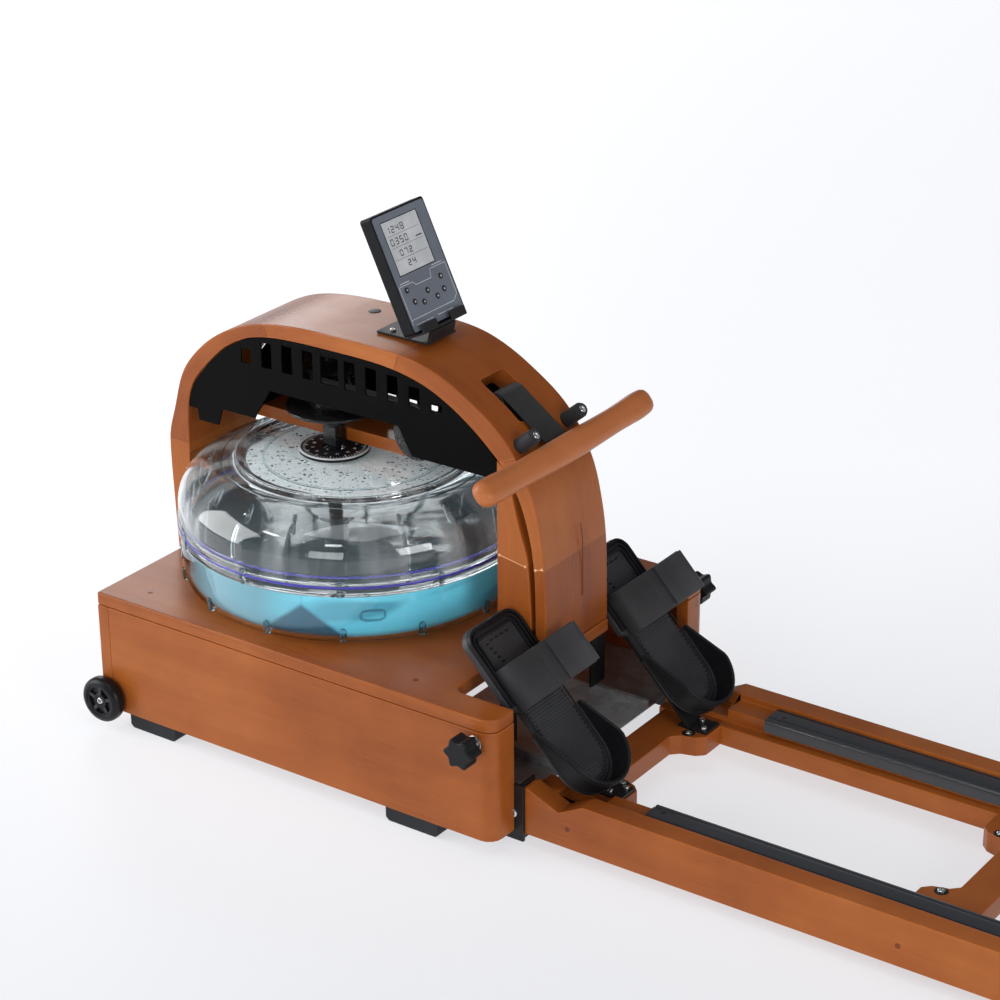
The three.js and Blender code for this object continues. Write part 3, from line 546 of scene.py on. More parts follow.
def spline(pts, n, ease=0, lock=True):
    """A smooth curve through the points, at n even steps; ease rounds off measuring noise."""
    P = [Vector(p) for p in pts]
    P = [P[0] * 2 - P[1]] + P + [P[-1] * 2 - P[-2]]
    dense = []
    for i in range(1, len(P) - 2):
        p0, p1, p2, p3 = P[i - 1:i + 3]
        t0 = 0.0
        t1 = t0 + max(1e-6, (p1 - p0).length) ** 0.5
        t2 = t1 + max(1e-6, (p2 - p1).length) ** 0.5
        t3 = t2 + max(1e-6, (p3 - p2).length) ** 0.5
        for k in range(24):
            t = t1 + (t2 - t1) * k / 24
            a1 = p0 * ((t1 - t) / (t1 - t0)) + p1 * ((t - t0) / (t1 - t0))
            a2 = p1 * ((t2 - t) / (t2 - t1)) + p2 * ((t - t1) / (t2 - t1))
            a3 = p2 * ((t3 - t) / (t3 - t2)) + p3 * ((t - t2) / (t3 - t2))
            b1 = a1 * ((t2 - t) / (t2 - t0)) + a2 * ((t - t0) / (t2 - t0))
            b2 = a2 * ((t3 - t) / (t3 - t1)) + a3 * ((t - t1) / (t3 - t1))
            dense.append(b1 * ((t2 - t) / (t2 - t1)) + b2 * ((t - t1) / (t2 - t1)))
    dense.append(P[-2])
    for _ in range(ease):
        dense = [dense[0]] + [(dense[i - 1] + dense[i] * 2 + dense[i + 1]) / 4 for i in range(1, len(dense) - 1)] + [dense[-1]]
    cum = [0.0]
    for a, b in zip(dense, dense[1:]):
        cum.append(cum[-1] + (b - a).length)
    out, j = [], 0
    for k in range(n):
        s = cum[-1] * k / (n - 1)
        while j < len(cum) - 2 and cum[j + 1] < s:
            j += 1
        d = cum[j + 1] - cum[j]
        out.append(dense[j].lerp(dense[j + 1], 0 if d < 1e-12 else min(1, max(0, (s - cum[j]) / d))))
    return [tuple(p) for p in out]


def round_corners(poly, r, n=4):
    """Convex or concave corners of a closed outline, rounded."""
    out = []
    m = len(poly)
    for i in range(m):
        p, a, b = Vector(poly[i]), Vector(poly[i - 1]), Vector(poly[(i + 1) % m])
        u, w = (a - p), (b - p)
        lim = min(u.length, w.length) * 0.45
        rr = r[i] if isinstance(r, (list, tuple)) else r
        u.normalize()
        w.normalize()
        ang = u.angle(w)
        if rr <= 0 or ang > rad(175):
            out.append(tuple(p))
            continue
        d = min(rr / math.tan(ang / 2), lim)
        s, e = p + u * d, p + w * d
        for k in range(n + 1):
            t = k / n
            out.append(tuple(s * (1 - t) ** 2 + p * 2 * t * (1 - t) + e * t ** 2))
    return out


def build(bm, width, segs, angle, clamp=False):
    bmesh.ops.recalc_face_normals(bm, faces=bm.faces)
    if width:
        edges = [e for e in bm.edges if len(e.link_faces) == 2 and e.calc_face_angle(0) > rad(angle)]
        if edges:
            bmesh.ops.bevel(bm, geom=edges, offset=width * MM, offset_type="OFFSET", segments=segs, profile=0.5,
                            affect="EDGES", clamp_overlap=clamp)
            bmesh.ops.remove_doubles(bm, verts=bm.verts, dist=1e-6)
            bmesh.ops.dissolve_degenerate(bm, dist=1e-6, edges=bm.edges)
            bmesh.ops.recalc_face_normals(bm, faces=bm.faces)


def put(name, me, material, body, M=None, replaces=(), slot=None, smooth=32, weighted=True):
    me.shade_smooth()
    me.set_sharp_from_angle(angle=rad(smooth))
    o = bpy.data.objects.new(name, me)
    bpy.context.scene.collection.objects.link(o)
    me.materials.append(material)
    if M is not None:
        o.matrix_world = M
    if weighted:
        w = o.modifiers.new("weighted_normal", "WEIGHTED_NORMAL")
        w.keep_sharp = True
        w.weight = 60
    if body:
        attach(o, body)
    if replaces:
        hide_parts(*([replaces] if isinstance(replaces, str) else replaces))
    return o


def make(name, shape, material, body, M=None, bevel=0.0, segs=2, angle=30, replaces=(), slot=None, smooth=32,
         weighted=True, uv=None, clamp=False):
    """A piece from a shape. Without M its vertices are measured as V does; with M they are local."""
    v, f = shape
    me = bpy.data.meshes.new(name)
    me.from_pydata([V(*p) if M is None else Vector(p) * MM for p in v], [], f)
    if uv:
        layer = me.uv_layers.new(name="UVMap")
        for loop in me.loops:
            layer.data[loop.index].uv = uv[loop.vertex_index]
    bm = bmesh.new()
    bm.from_mesh(me)
    build(bm, bevel, segs, angle, clamp)
    bm.to_mesh(me)
    bm.free()
    return put(name, me, material, body, M, replaces, slot, smooth, weighted)


def from_node(node, material, bevel=1.0, segs=2, slot=None, angle=28, smooth=32, name=None):
    """A finished copy of a CAD node: its flats made whole and its edges rounded."""
    src = NODES[node].data
    bm = bmesh.new()
    vs = [bm.verts.new(v.co) for v in src.vertices]
    bm.verts.ensure_lookup_table()
    seen = set()
    for p in src.polygons:
        key = tuple(p.vertices)
        if len(set(key)) == len(key):
            try:
                bm.faces.new([vs[i] for i in key])
            except ValueError:
                pass
    bmesh.ops.remove_doubles(bm, verts=bm.verts, dist=3e-5)
    bmesh.ops.dissolve_degenerate(bm, dist=1e-6, edges=bm.edges)
    bmesh.ops.recalc_face_normals(bm, faces=bm.faces)
    bmesh.ops.dissolve_limit(bm, angle_limit=rad(0.6), verts=bm.verts, edges=bm.edges)
    build(bm, bevel, segs, angle)
    me = bpy.data.meshes.new(name or node)
    bm.to_mesh(me)
    bm.free()
    label = name or node + "_finish"
    body = NODES[node]["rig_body"]
    slot = slot or (NODES[node].material_slots[0].material.name if NODES[node].material_slots else None)
    return put(label, me, material, body, None, node, slot, smooth)


def carve(o, *cutters):
    """Cuts shapes out of a piece, for good."""
    tools = []
    for i, s in enumerate(cutters):
        me = bpy.data.meshes.new(f"cutter{i}")
        me.from_pydata([V(*p) for p in s[0]], [], s[1])
        bm = bmesh.new()
        bm.from_mesh(me)
        bmesh.ops.recalc_face_normals(bm, faces=bm.faces)
        bm.to_mesh(me)
        bm.free()
        c = bpy.data.objects.new(f"cutter{i}", me)
        bpy.context.scene.collection.objects.link(c)
        mod = o.modifiers.new(f"cut{i}", "BOOLEAN")
        mod.operation, mod.solver, mod.object = "DIFFERENCE", "EXACT", c
        tools.append(c)
    bpy.context.view_layer.update()
    dg = bpy.context.evaluated_depsgraph_get()
    me = bpy.data.meshes.new_from_object(o.evaluated_get(dg))
    for m in list(o.modifiers):
        o.modifiers.remove(m)
    o.data = me
    for c in tools:
        bpy.data.objects.remove(c, do_unlink=True)


def hexagon(flat):
    """Radius of a hexagon across its flats, as a function of the angle."""
    return lambda t: flat / 2 / cos(((t + pi / 6) % (pi / 3)) - pi / 6)


def bolt(name, p, d, r, h, body, M=None, material=None, socket=0.5, dome=0.25, n=30):
    """Domed or flat head with a hexagon socket, standing h off the surface at p."""
    s = r * socket
    prof = [(0, h * 0.35), (hexagon(2 * s * 0.92), h * 0.35), (hexagon(2 * s), h * 0.98), (s * 1.35, h), (r * 0.78, h * (1 - dome * 0.35)),
            (r * 0.93, h * (1 - dome)), (r, h * (0.85 - dome)), (r, 0), (0, 0)]
    return make(name, aimed(lathe(prof, n), p, d), material or STEEL, body, M, smooth=38)


def grain_plug(name, p, d, r, body, material=None):
    """A filled screw head, all but flush."""
    prof = [(0, 0.32), (r * 0.7, 0.30), (r * 0.95, 0.12), (r, -0.2), (0, -0.2)]
    return make(name, aimed(lathe(prof, 20), p, d), material or W_SEAM, body)


FRAME = "machine_frame"

# ------------------------------------------------------------------ camera, lights and floor
az, el, roll = 0.614308, 0.43189, -0.005847
back = Vector((sin(az) * cos(el), -cos(az) * cos(el), sin(el)))
right = (-back).cross(Vector((0, 0, 1))).normalized()
up = right.cross(-back)
right_r, up_r = right * cos(roll) + up * sin(roll), up * cos(roll) - right * sin(roll)
cam = bpy.data.cameras.new("camera")
cam.sensor_width, cam.lens, cam.shift_y = 36.0, 101.554, 0.0245
cam.clip_start, cam.clip_end = 0.05, 60
cam_obj = bpy.data.objects.new("camera", cam)
rot = Matrix((right_r, up_r, back)).transposed().to_4x4()
cam_obj.matrix_world = Matrix.Translation(Vector((1.36546, -2.70497, 1.84875))) @ rot
bpy.context.scene.collection.objects.link(cam_obj)
bpy.context.scene.camera = cam_obj


def softbox(name, at, to, wide, high, power, colour=(1, 1, 1), glossy=True):
    l = bpy.data.lights.new(name, "AREA")
    l.shape, l.size, l.size_y, l.energy, l.color = "RECTANGLE", wide, high, power, colour
    o = bpy.data.objects.new(name, l)
    d = (Vector(to) - Vector(at)).normalized()
    o.matrix_world = Matrix.Translation(Vector(at)) @ d.to_track_quat("-Z", "Y").to_matrix().to_4x4()
    bpy.context.scene.collection.objects.link(o)
    o.visible_camera = False
    o.visible_glossy = glossy
    return o


softbox("box_left", (-3.25, -1.65, 1.40), (-0.6, 0, 0.35), 2.3, 2.4, 82)
softbox("box_front", (0.6, -3.9, 1.5), (-0.5, 0, 0.3), 1.6, 1.5, 66, glossy=False)
softbox("box_right", (3.0, -1.0, 1.4), (-0.2, 0, 0.3), 1.5, 1.5, 43)
softbox("box_back", (-4.3, 3.3, 2.05), (-0.6, 0, 0.3), 2.0, 1.3, 38)
softbox("box_top", (-0.3, -0.4, 3.4), (-0.3, 0, 0.2), 2.0, 2.0, 19)
# Two small lamps high up, seen only as short highlights on the tank and the console.
for name, at in (("glint_left", (-2.6, -2.6, 3.9)), ("glint_right", (0.5, -3.3, 4.0))):
    softbox(name, at, (-0.75, 0, 0.35), 0.8, 0.34, 14.0).visible_diffuse = False
world = bpy.data.worlds.new("studio")
bpy.context.scene.world = world
world.use_nodes = True
wn = world.node_tree
wn.nodes.clear()
wo = wn.nodes.new("ShaderNodeOutputWorld")
wb = wn.nodes.new("ShaderNodeBackground")
grad = wn.nodes.new("ShaderNodeTexCoord")
sepw = wn.nodes.new("ShaderNodeSeparateXYZ")
rw = wn.nodes.new("ShaderNodeValToRGB")
wn.links.new(grad.outputs["Generated"], sepw.inputs[0])
wn.links.new(sepw.outputs[2], rw.inputs[0])
rw.color_ramp.elements[0].color = (0.66, 0.67, 0.70, 1)
rw.color_ramp.elements[0].position = 0.06
rw.color_ramp.elements[1].color = (0.20, 0.205, 0.22, 1)
rw.color_ramp.elements[1].position = 0.36
wn.links.new(rw.outputs[0], wb.inputs[0])
wb.inputs[1].default_value = 0.72
wn.links.new(wb.outputs[0], wo.inputs[0])
bpy.context.scene.view_settings.view_transform = "Standard"
bpy.context.scene.view_settings.look = "None"

fm, fnt, fp, _ = new_mat("pale_floor", Roughness=0.6)
fco = N(fnt, "TexCoord").outputs["Object"]
fnt.links.new(ramp(fnt, tex_noise(fnt, fco, 1.5, 4.0), [(0.3, (0.345, 0.35, 0.36)), (0.7, (0.36, 0.365, 0.375))]), fp.inputs["Base Color"])
# The floor glows with painted light, paler away from the near edge, as a sweep lit from behind would be.
fxyz = N(fnt, "SeparateXYZ", {0: fco})
fdeep = math_node(fnt, "SUBTRACT", math_node(fnt, "MULTIPLY", fxyz.outputs[1], 0.817), math_node(fnt, "MULTIPLY", fxyz.outputs[0], 0.576))
fnt.links.new(ramp(fnt, span(fnt, fdeep, -1.2, 4.2, 0.0, 1.0), [(0.0, (0.46, 0.465, 0.485)), (0.18, (0.54, 0.545, 0.565)), (0.45, (0.72, 0.725, 0.745)),
                                                              (1.0, (0.80, 0.805, 0.83))]), fp.inputs["Emission Color"])
fp.inputs["Emission Strength"].default_value = 1.0
floor_me = bpy.data.meshes.new("floor")
floor_me.from_pydata([(-14, -14, -0.0005), (14, -14, -0.0005), (14, 14, -0.0005), (-14, 14, -0.0005)], [], [(0, 1, 2, 3)])
floor_me.materials.append(fm)
floor = bpy.data.objects.new("floor", floor_me)
bpy.context.scene.collection.objects.link(floor)

# ------------------------------------------------------------------ wooden box
from_node("deck_board", W_X, 2.6, 3)
from_node("side_board_left", W_X, 1.2, 2)
from_node("side_board_right", W_X, 1.2, 2)
from_node("end_board", W_Y, 1.4, 2)
from_node("base_skid_front", SKID, 2.2, 3)
from_node("base_skid_rear", SKID, 2.2, 3)
from_node("base_tray", ZINC, 0.5, 2)
for i, (x, y) in enumerate([(501, -210), (501, 210), (60, -210), (60, 210)]):
    grain_plug(f"deck_screw_{i + 1}", (x, y, 193.2), (0, 0, 1), 4.2, FRAME)
for side, s in SIDES:
    for i, z in enumerate((45, 105, 160)):
        grain_plug(f"end_screw_{side}_{i + 1}", (0, s * 236, z), (-1, 0, 0), 4.0, FRAME)

# ------------------------------------------------------------------ arch
OUTER = [(-13.3, 253), (-16.0, 330), (-14.6, 362), (-4.1, 397), (14.8, 456), (48.5, 497), (82.9, 523), (124.4, 543.3),
         (164.7, 553.5), (216, 559.0), (270, 560), (327, 559.8), (383, 557.6), (419.8, 551), (456, 537), (492, 516.6),
         (527.7, 491.8), (552.5, 466), (571, 435), (584.2, 405), (595, 360), (601.3, 315.6), (603.7, 244.7)]
INNER = [(587, 258), (585.6, 300), (581, 340), (575, 366), (564.5, 398), (541.8, 437), (520.3, 458.6), (488, 485.5),
         (448.4, 510.6), (412, 526), (367.6, 535.3), (326, 538.3), (269, 538.6), (215, 538.0), (163.8, 534.3),
         (127.3, 525.2), (89.8, 504.4), (59.5, 476), (32.5, 443), (22.5, 414), (19.4, 367.7)]
hoop = [(-0.3, 187), (-10.7, 187)] + spline([(-10.9, 193.5)] + OUTER + [(604.5, 193.5)], 120, 26)
hoop += spline([(587.5, 193.5)] + INNER + [(19.4, 193.5)], 110, 26) + [(-0.3, 193.5)]
arch = make("arch_hoop_finish", prism(hoop, -71.3, 71.3, "y"), W_ARCH, None, bevel=2.0, segs=3, angle=55, weighted=False)


PEG = Vector((cos(rad(40)), 0, sin(rad(40))))
peg_at = lambda t, y: (545 + PEG.x * t, y, 463 + PEG.z * t)
round_rod = lambda p, q, r, n=40: aimed(lathe([(0, 0), (r, 0), (r, (Vector(q) - Vector(p)).length), (0, (Vector(q) - Vector(p)).length)], n),
                                        p, Vector(q) - Vector(p))
# The slot's corners are rounded, as a router leaves them.
slot_poly = round_corners([(-38, -26), (38, -26), (38, 26), (-38, 26)], 7, 6)
sv, sf = prism(slot_poly, -35, 35)
cs, ss = cos(0.595), sin(0.595)
slot_shape = ([(502 + x * cs + z * ss, y, 507 - x * ss + z * cs) for x, y, z in sv], sf)
carve(arch, slot_shape, round_rod(peg_at(-20, -52), peg_at(60, -52), 10.4), round_rod(peg_at(-20, 52), peg_at(60, 52), 10.4),
      round_rod((246, 0, 190), (246, 0, 338), 238.4, 180))
arch.data.shade_smooth()
arch.data.set_sharp_from_angle(angle=rad(30))
arch.data.materials.clear()
arch.data.materials.append(W_ARCH)
wnm = arch.modifiers.new("weighted_normal", "WEIGHTED_NORMAL")
wnm.keep_sharp = True
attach(arch, FRAME)
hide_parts("arch_hoop")

post = [(529, 193.5), (581.4, 193.5)] + spline([(581.4, 200), (581, 242), (579.5, 270), (575, 325), (567, 351), (557, 386), (549, 420), (541, 440)], 30, 8)
post += [(529, 449.6)]
make("leg_post_finish", prism(post, -71.3, 71.3, "y"), W_ARCH, FRAME, bevel=1.4, segs=2, angle=50, replaces="leg_post", slot="wood_arch")


def ribbon_on_arch(name, pts, y, material, width=0.5, lift=0.10):
    """A hair-thin joint line across the near edge of the hoop."""
    (x0, z0), (x1, z1) = pts
    d = Vector((x1 - x0, z1 - z0)).normalized()
    n = Vector((-d.y, d.x)) * width / 2
    poly = [(x0 - n.x, z0 - n.y), (x1 - n.x, z1 - n.y), (x1 + n.x, z1 + n.y), (x0 + n.x, z0 + n.y)]
    s = 1 if y > 0 else -1
    return make(name, prism(poly, y, y + s * lift, "y"), material, FRAME, weighted=False)


for side, s in SIDES:
    y = s * 71.25
    for i, (a, b) in enumerate([((164, 537), (160, 550.5)), ((372, 537.5), (378, 556)), ((541, 450), (556, 457)),
                                ((-14, 352), (17.5, 352))]):
        ribbon_on_arch(f"arch_joint_{side}_{i + 1}", (a, b), y, W_SEAM, 0.7)
    ribbon_on_arch(f"post_joint_{side}", ((531, 321), (573, 314)), y, FILLER, 1.1)
    ribbon_on_arch(f"leg_joint_{side}", ((586, 314), (599, 316.5)), y, FILLER, 1.1)
    for i, (x, z) in enumerate([(532.5, 320.5), (572, 314.5), (587.5, 313.5), (597.5, 317)]):
        grain_plug(f"filler_dot_{side}_{i + 1}", (x, s * 71.3, z), (0, s, 0), 1.9, FRAME, FILLER)
# Seam down the outer face of the right leg, and the round plug on top.
make("leg_seam", prism([(604.0, 250), (605.0, 250), (604.2, 330), (600.8, 352), (599.8, 352), (603.0, 330)], 11.6, 12.2, "y"),
     W_SEAM, FRAME, weighted=False)
make("arch_plug", aimed(lathe([(0, 0.9), (6.5, 0.8), (8.4, 0.45), (9, -0.3), (9, -0.8), (0, -0.8)], 32), (262, 33, 559.9), (0, 0, 1)), COAT, FRAME)

# ------------------------------------------------------------------ water tank
# The tank's own axis, and the paddle shaft's, which stands off it towards the wheel end.
TX, SX = 246.0, 214.0


def tank_piece(name, profile, material, replaces=(), slot=None, n=144, z=0.0, loop=True, smooth=40, at=TX):
    return make(name, moved(lathe(profile, n, "z", loop), at, 0, z), material, FRAME, replaces=replaces, slot=slot,
                smooth=smooth, weighted=False)


outer_low = spline([(200, 193.5), (210, 194.0), (226, 200.5), (232.3, 214), (234.2, 240), (234.6, 267)], 30, 4)
inner_low = spline([(230.4, 266), (229.3, 240), (227.6, 216), (222, 204.5), (208, 198.3), (198, 197.5)], 26, 4)
tank_piece("tank_lower_shell", [(0, 193.5)] + outer_low + [(235.4, 269.6), (236.6, 270.4), (237, 271.4), (237, 278.2), (236.4, 279),
           (226.4, 279), (226, 278.4), (226, 276.4), (229.6, 269.2)] + inner_low + [(0, 197.5)], CLEAR,
           replaces="tank_lower", slot="clear_shell", loop=False)
tank_piece("tank_seam_gasket", [(227, 279.4), (236.9, 279.4), (237.4, 279.9), (237.5, 281), (237.4, 282.1), (236.9, 282.6), (227, 282.6)],
           GASKET, replaces="tank_gasket", slot="gasket_blue")
up_out = spline([(235.4, 294), (235.4, 312), (231, 328), (221, 342), (205, 353.3), (186, 360.6), (164, 365.2)], 34, 4)
up_in = spline([(152, 361.3), (184, 357), (203, 349.5), (218, 338.5), (227, 326), (231.2, 311), (231, 297)], 30, 4)
upper = tank_piece("tank_upper_shell", [(226.3, 283), (236.5, 283), (237, 283.6), (237, 290.3), (236.4, 291.4), (235.5, 292.4)] + up_out +
                   [(160, 366.2), (158.2, 367.6), (158, 370.4), (157.2, 371.5), (156, 372), (150, 372), (148.8, 371.5), (146.6, 368.0),
                    (144.6, 367.0), (122, 365.5), (100, 364.1), (60, 364), (0, 364), (0, 360), (60, 360), (100, 360.2)] + up_in +
                   [(230.4, 294.4), (226.3, 291), (226, 290), (226, 283.4)], CLEAR_TOP, replaces="tank_upper", slot="clear_shell")
carve(upper, round_rod((SX, 0, 350), (SX, 0, 380), 14, 60))
upper.data.shade_smooth()
upper.data.set_sharp_from_angle(angle=rad(40))
mist = tank_piece("lid_mist", [(0, 359.85), (60, 359.85), (100, 360.05), (144, 360.9), (144, 360.6), (100, 359.75), (60, 359.55), (0, 359.55)], MIST, n=120)
carve(mist, round_rod((SX, 0, 350), (SX, 0, 380), 14.2, 60))
# Steps on the lid that carry the light: a flat step outside the ring and a low one inside it.
tank_piece("lid_step_outer", [(176, 363.4), (178, 364.4), (176.6, 365.3), (174.6, 364.6)], CLEAR_PART, n=120)
tank_piece("lid_step_inner", [(118, 365.1), (122, 365.3), (122, 366.8), (118, 366.6)], CLEAR_PART, n=120)

# Water with a slow swell on its surface and a raised rim at the wall.
wat_side = [(227.9 - 0.4, 216.5), (229.2 - 0.5, 240), (229.9 - 0.5, 262.5)]
prof_w = [(0, 197.9), (120, 197.9), (198, 197.9), (207.5, 198.8), (221.4, 205), (226.6, 214)] + wat_side + [(229.2, 265.6), (227.4, 264.6), (222, 264.2)]
prof_w += [(r, 264.1) for r in (205, 185, 165, 145, 125, 105, 85, 65, 45, 30, 20, 12)] + [(0, 264.1)]
wv, wf = lathe(prof_w, 120)
wv = [(x, y, z + (1.1 * noise.noise(Vector((x, y, 0)) * 0.022) + 0.5 * noise.noise(Vector((y, x, 3)) * 0.06) if z > 264 and math.hypot(x, y) < 224 else 0))
      for x, y, z in wv]
make("tank_water", moved((wv, wf), TX, 0, 0), WATER, FRAME, smooth=50, weighted=False)

# Ribs inside the upper shell, each with a rounded boss under the lid.
ribs = []
wall_in = spline([(229.8, 297), (230.0, 311), (225.8, 325.5), (216.8, 337.8), (203.5, 347.4)], 14, 2)
for i in range(18):
    a = rad(5 + 20 * i)
    strip_v, strip_f = [], []
    for r, z in wall_in:
        for off, w in ((0.3, -2.0), (0.3, 2.0), (-3.2, 1.4), (-3.2, -1.4)):
            rr = r + off
            strip_v.append((rr * cos(a) - w * sin(a), rr * sin(a) + w * cos(a), z))
    m = len(wall_in)
    for k in range(m - 1):
        for j in range(4):
            p, q = 4 * k + j, 4 * k + (j + 1) % 4
            strip_f.append((p, q, q + 4, p + 4))
    strip_f += [(3, 2, 1, 0), tuple(4 * (m - 1) + j for j in range(4))]
    ribs.append((strip_v, strip_f))
    # A round stiffener stands inside the wall, from the seam to under the shoulder.
    ribs.append(turned(aimed(lathe([(0, 0), (2.6, 0.6), (2.6, 52), (2.0, 54.6), (0, 56)], 12), (221.5, 0, 285), (-0.16, 0, 1)), a))
    ribs.append(turned(moved(aimed(lathe([(0, -14), (2.2, -13.2), (3.4, -11), (3.4, 11), (2.2, 13.2), (0, 14)], 14), (0, 0, 0), (-0.45, 0, 0.9)),
                             196.5, 0, 345.5), a))
make("shell_ribs", moved(together(*ribs), TX, 0, 0), CLEAR_RIB_SHADED, FRAME, smooth=40, weighted=False)

# Clips over the seam, and bosses low on the wall.
clips = []
for i in range(11):
    a = rad(-90 + 32.73 * i)
    piece = together(moved(prism(round_corners([(233.2, -3.6), (238.3, -3.6), (238.3, 3.6), (233.2, 3.6)], 1.2, 3), 273.2, 288.8), 0, 0, 0),
                     prism(round_corners([(232.2, -2.2), (238.0, -2.2), (238.0, 2.2), (232.2, 2.2)], 0.8, 3), 268.2, 273.0),
                     aimed(lathe([(0, 1.0), (1.6, 0.8), (2.2, 0), (0, 0)], 14), (235.4, 0, 288.9), (0, 0, 1)))
    clips.append(turned(piece, a))
make("seam_clips", moved(together(*clips), TX, 0, 0), CLEAR_RIB_SHADED, FRAME, smooth=40, weighted=False)
bosses = []
for i in range(14):
    a = rad(-5 + 25.7 * i)
    bosses.append(turned(aimed(lathe([(0, -9.5), (3.4, -9.3), (4.6, -8.6), (4.6, 5), (4.0, 7.6), (2.4, 9.2), (0, 9.8)], 18), (230.6, 0, 212), (0.12, 0, 1)), a))
for a0 in (-47, 43, 133, 223):
    loop = []
    for k in range(40):
        t = 2 * pi * k / 40
        u = 15.5 * math.copysign(abs(cos(t)) ** 0.55, cos(t))
        w = 7.0 * math.copysign(abs(sin(t)) ** 0.7, sin(t))
        aa = rad(a0) + u / 233.0
        loop.append((233.6 * cos(aa), 233.6 * sin(aa), 240 + w))
    bosses.append(tube(loop, 1.7, 10, closed=True))
make("wall_bosses", moved(together(*bosses), TX, 0, 0), clear("clear_boss", (0.45, 0.68, 0.74), 0.08, 0.03), FRAME, smooth=50, weighted=False)

# Beads of condensation on the lid and down the near shoulder.
rng = random.Random(7)


def bead(r):
    return lathe([(0, r * 0.55), (r * 0.55, r * 0.45), (r * 0.9, r * 0.18), (r, 0), (0, -0.05)], 9)


beads = []
for i in range(900):
    a, rr = rng.uniform(0, 2 * pi), math.sqrt(rng.uniform(52 ** 2, 144 ** 2))
    if 118 < rr < 122 or math.hypot(TX - SX + rr * cos(a), rr * sin(a)) < 51:
        continue
    r = rng.choice((0.7, 0.9, 1.1, 1.3, 1.7, 2.3)) * rng.uniform(0.8, 1.15)
    z = 364.0 + max(0.0, rr - 100) / 44.6 * 3.0
    beads.append(moved(bead(r), TX + rr * cos(a), rr * sin(a), z))
make("lid_beads", together(*beads), DROPS, FRAME, smooth=60, weighted=False)
beads = []
shoulder = spline([(235.4, 300), (235.4, 312), (231, 328), (221, 342), (205, 353.3), (186, 360.6), (164, 365.2)], 60, 4)
for i in range(240):
    k = rng.randrange(8, len(shoulder) - 1)
    (r0, z0), (r1, z1) = shoulder[k], shoulder[k + 1]
    n = Vector((z1 - z0, 0, -(r1 - r0))).normalized()
    a = rng.uniform(-pi, pi)
    if abs(sin(a)) < 0.36:
        continue
    r = rng.choice((0.6, 0.8, 1.0, 1.3)) * rng.uniform(0.8, 1.2)
    beads.append(moved(turned(aimed(bead(r), (r0, 0, z0), n), a), TX, 0, 0))
make("shoulder_beads", together(*beads), DROPS, FRAME, smooth=60, weighted=False)

# Dial round the shaft: black disc, pale ring, and plain tick marks.
tank_piece("lid_dial_finish", [(16, 363.9), (47.5, 363.9), (48, 364.4), (48, 367.4), (47.2, 368.2), (45.6, 368.6), (16.6, 369), (16, 368.4)],
           PLASTIC, replaces="lid_dial", slot="black_plastic", n=96, z=0.3, at=SX)
tank_piece("dial_ring", [(45.2, 368.75), (48.1, 367.9), (48.6, 368.3), (48.4, 368.9), (47.0, 369.4), (45.4, 369.4)], WHITE_INK, n=96, z=0.3, at=SX)
ticks = []
for i in range(60):
    a = 2 * pi * i / 60
    big = i % 5 == 0
    r0 = 36 if big else 39.5
    ticks.append(turned(block(r0, 42.5, -0.7 if big else -0.35, 0.7 if big else 0.35, 368.7, 368.95), a))
for i in range(12):
    a = 2 * pi * (i + 0.5) / 12
    ticks.append(turned(block(27, 31.5, -1.6, -0.9, 368.85, 369.1), a))
    ticks.append(turned(block(27, 31.5, 0.9, 1.6, 368.85, 369.1), a))
make("dial_ticks", moved(together(*ticks), SX, 0, 0.3), WHITE_INK, FRAME, weighted=False)

# Paddle wheel, shaft, drum and bearing.
from_node("impeller", PADDLE, 0.6, 2)
from_node("drive_shaft", PLASTIC_SMOOTH, 0.8, 2)
make("drum_finish", moved(lathe([(0, 400.3), (11.6, 400.3), (12.5, 401.2), (12.5, 424.6), (14, 425.3), (63.2, 426.5), (64, 427.3), (64, 429.7),
     (63.2, 430.5), (31.5, 431.9), (30, 433.4), (30, 484.8), (31.2, 486.2), (45.4, 487.5), (46, 488.2), (46, 489.9), (45.2, 490.5),
     (10.6, 492), (10, 492.8), (10, 524), (0, 524)], 72), SX, 0, 0), PLASTIC_SMOOTH, "drum", replaces="strap_drum", slot="black_plastic")
from_node("top_bearing", COAT, 0.8, 2)
from_node("slotted_plate", PLATE, 0.5, 1)
from_node("bridge_board", W_X, 1.2, 2)
make("return_pulley_finish", moved(lathe([(6.3, -9), (31.5, -9), (33.4, -8.6), (34, -8), (34, -7.2), (33.4, -6.4), (29.0, -4.6), (27.2, -3), (27, 0), (27.2, 3),
     (29, 4.6), (33.4, 6.4), (34, 7.2), (34, 8), (33.4, 8.6), (31.5, 9), (22, 9), (21, 8.2), (12, 8.2), (11, 9), (6.3, 9)], 64, "y", True), 345, 12, 412),
     PLASTIC_SMOOTH, "pulley", replaces="return_pulley", slot="black_plastic")
bolt("pulley_bolt", (345, -1.2, 412), (0, -1, 0), 7.5, 4.5, FRAME, material=COAT)
make("guide_roller_finish", moved(lathe([(0, -25), (4.4, -25), (5, -24.4), (5, -23.5), (10.2, -23.5), (11, -22.7), (10.8, -12), (11, 0), (10.8, 12), (11, 22.7),
     (10.2, 23.5), (5, 23.5), (5, 24.4), (4.4, 25), (0, 25)], 40, "y"), 496, 0, 503), PLASTIC_SMOOTH, "roller", replaces="guide_roller", slot="black_plastic")

# ------------------------------------------------------------------ pull strap, in two runs


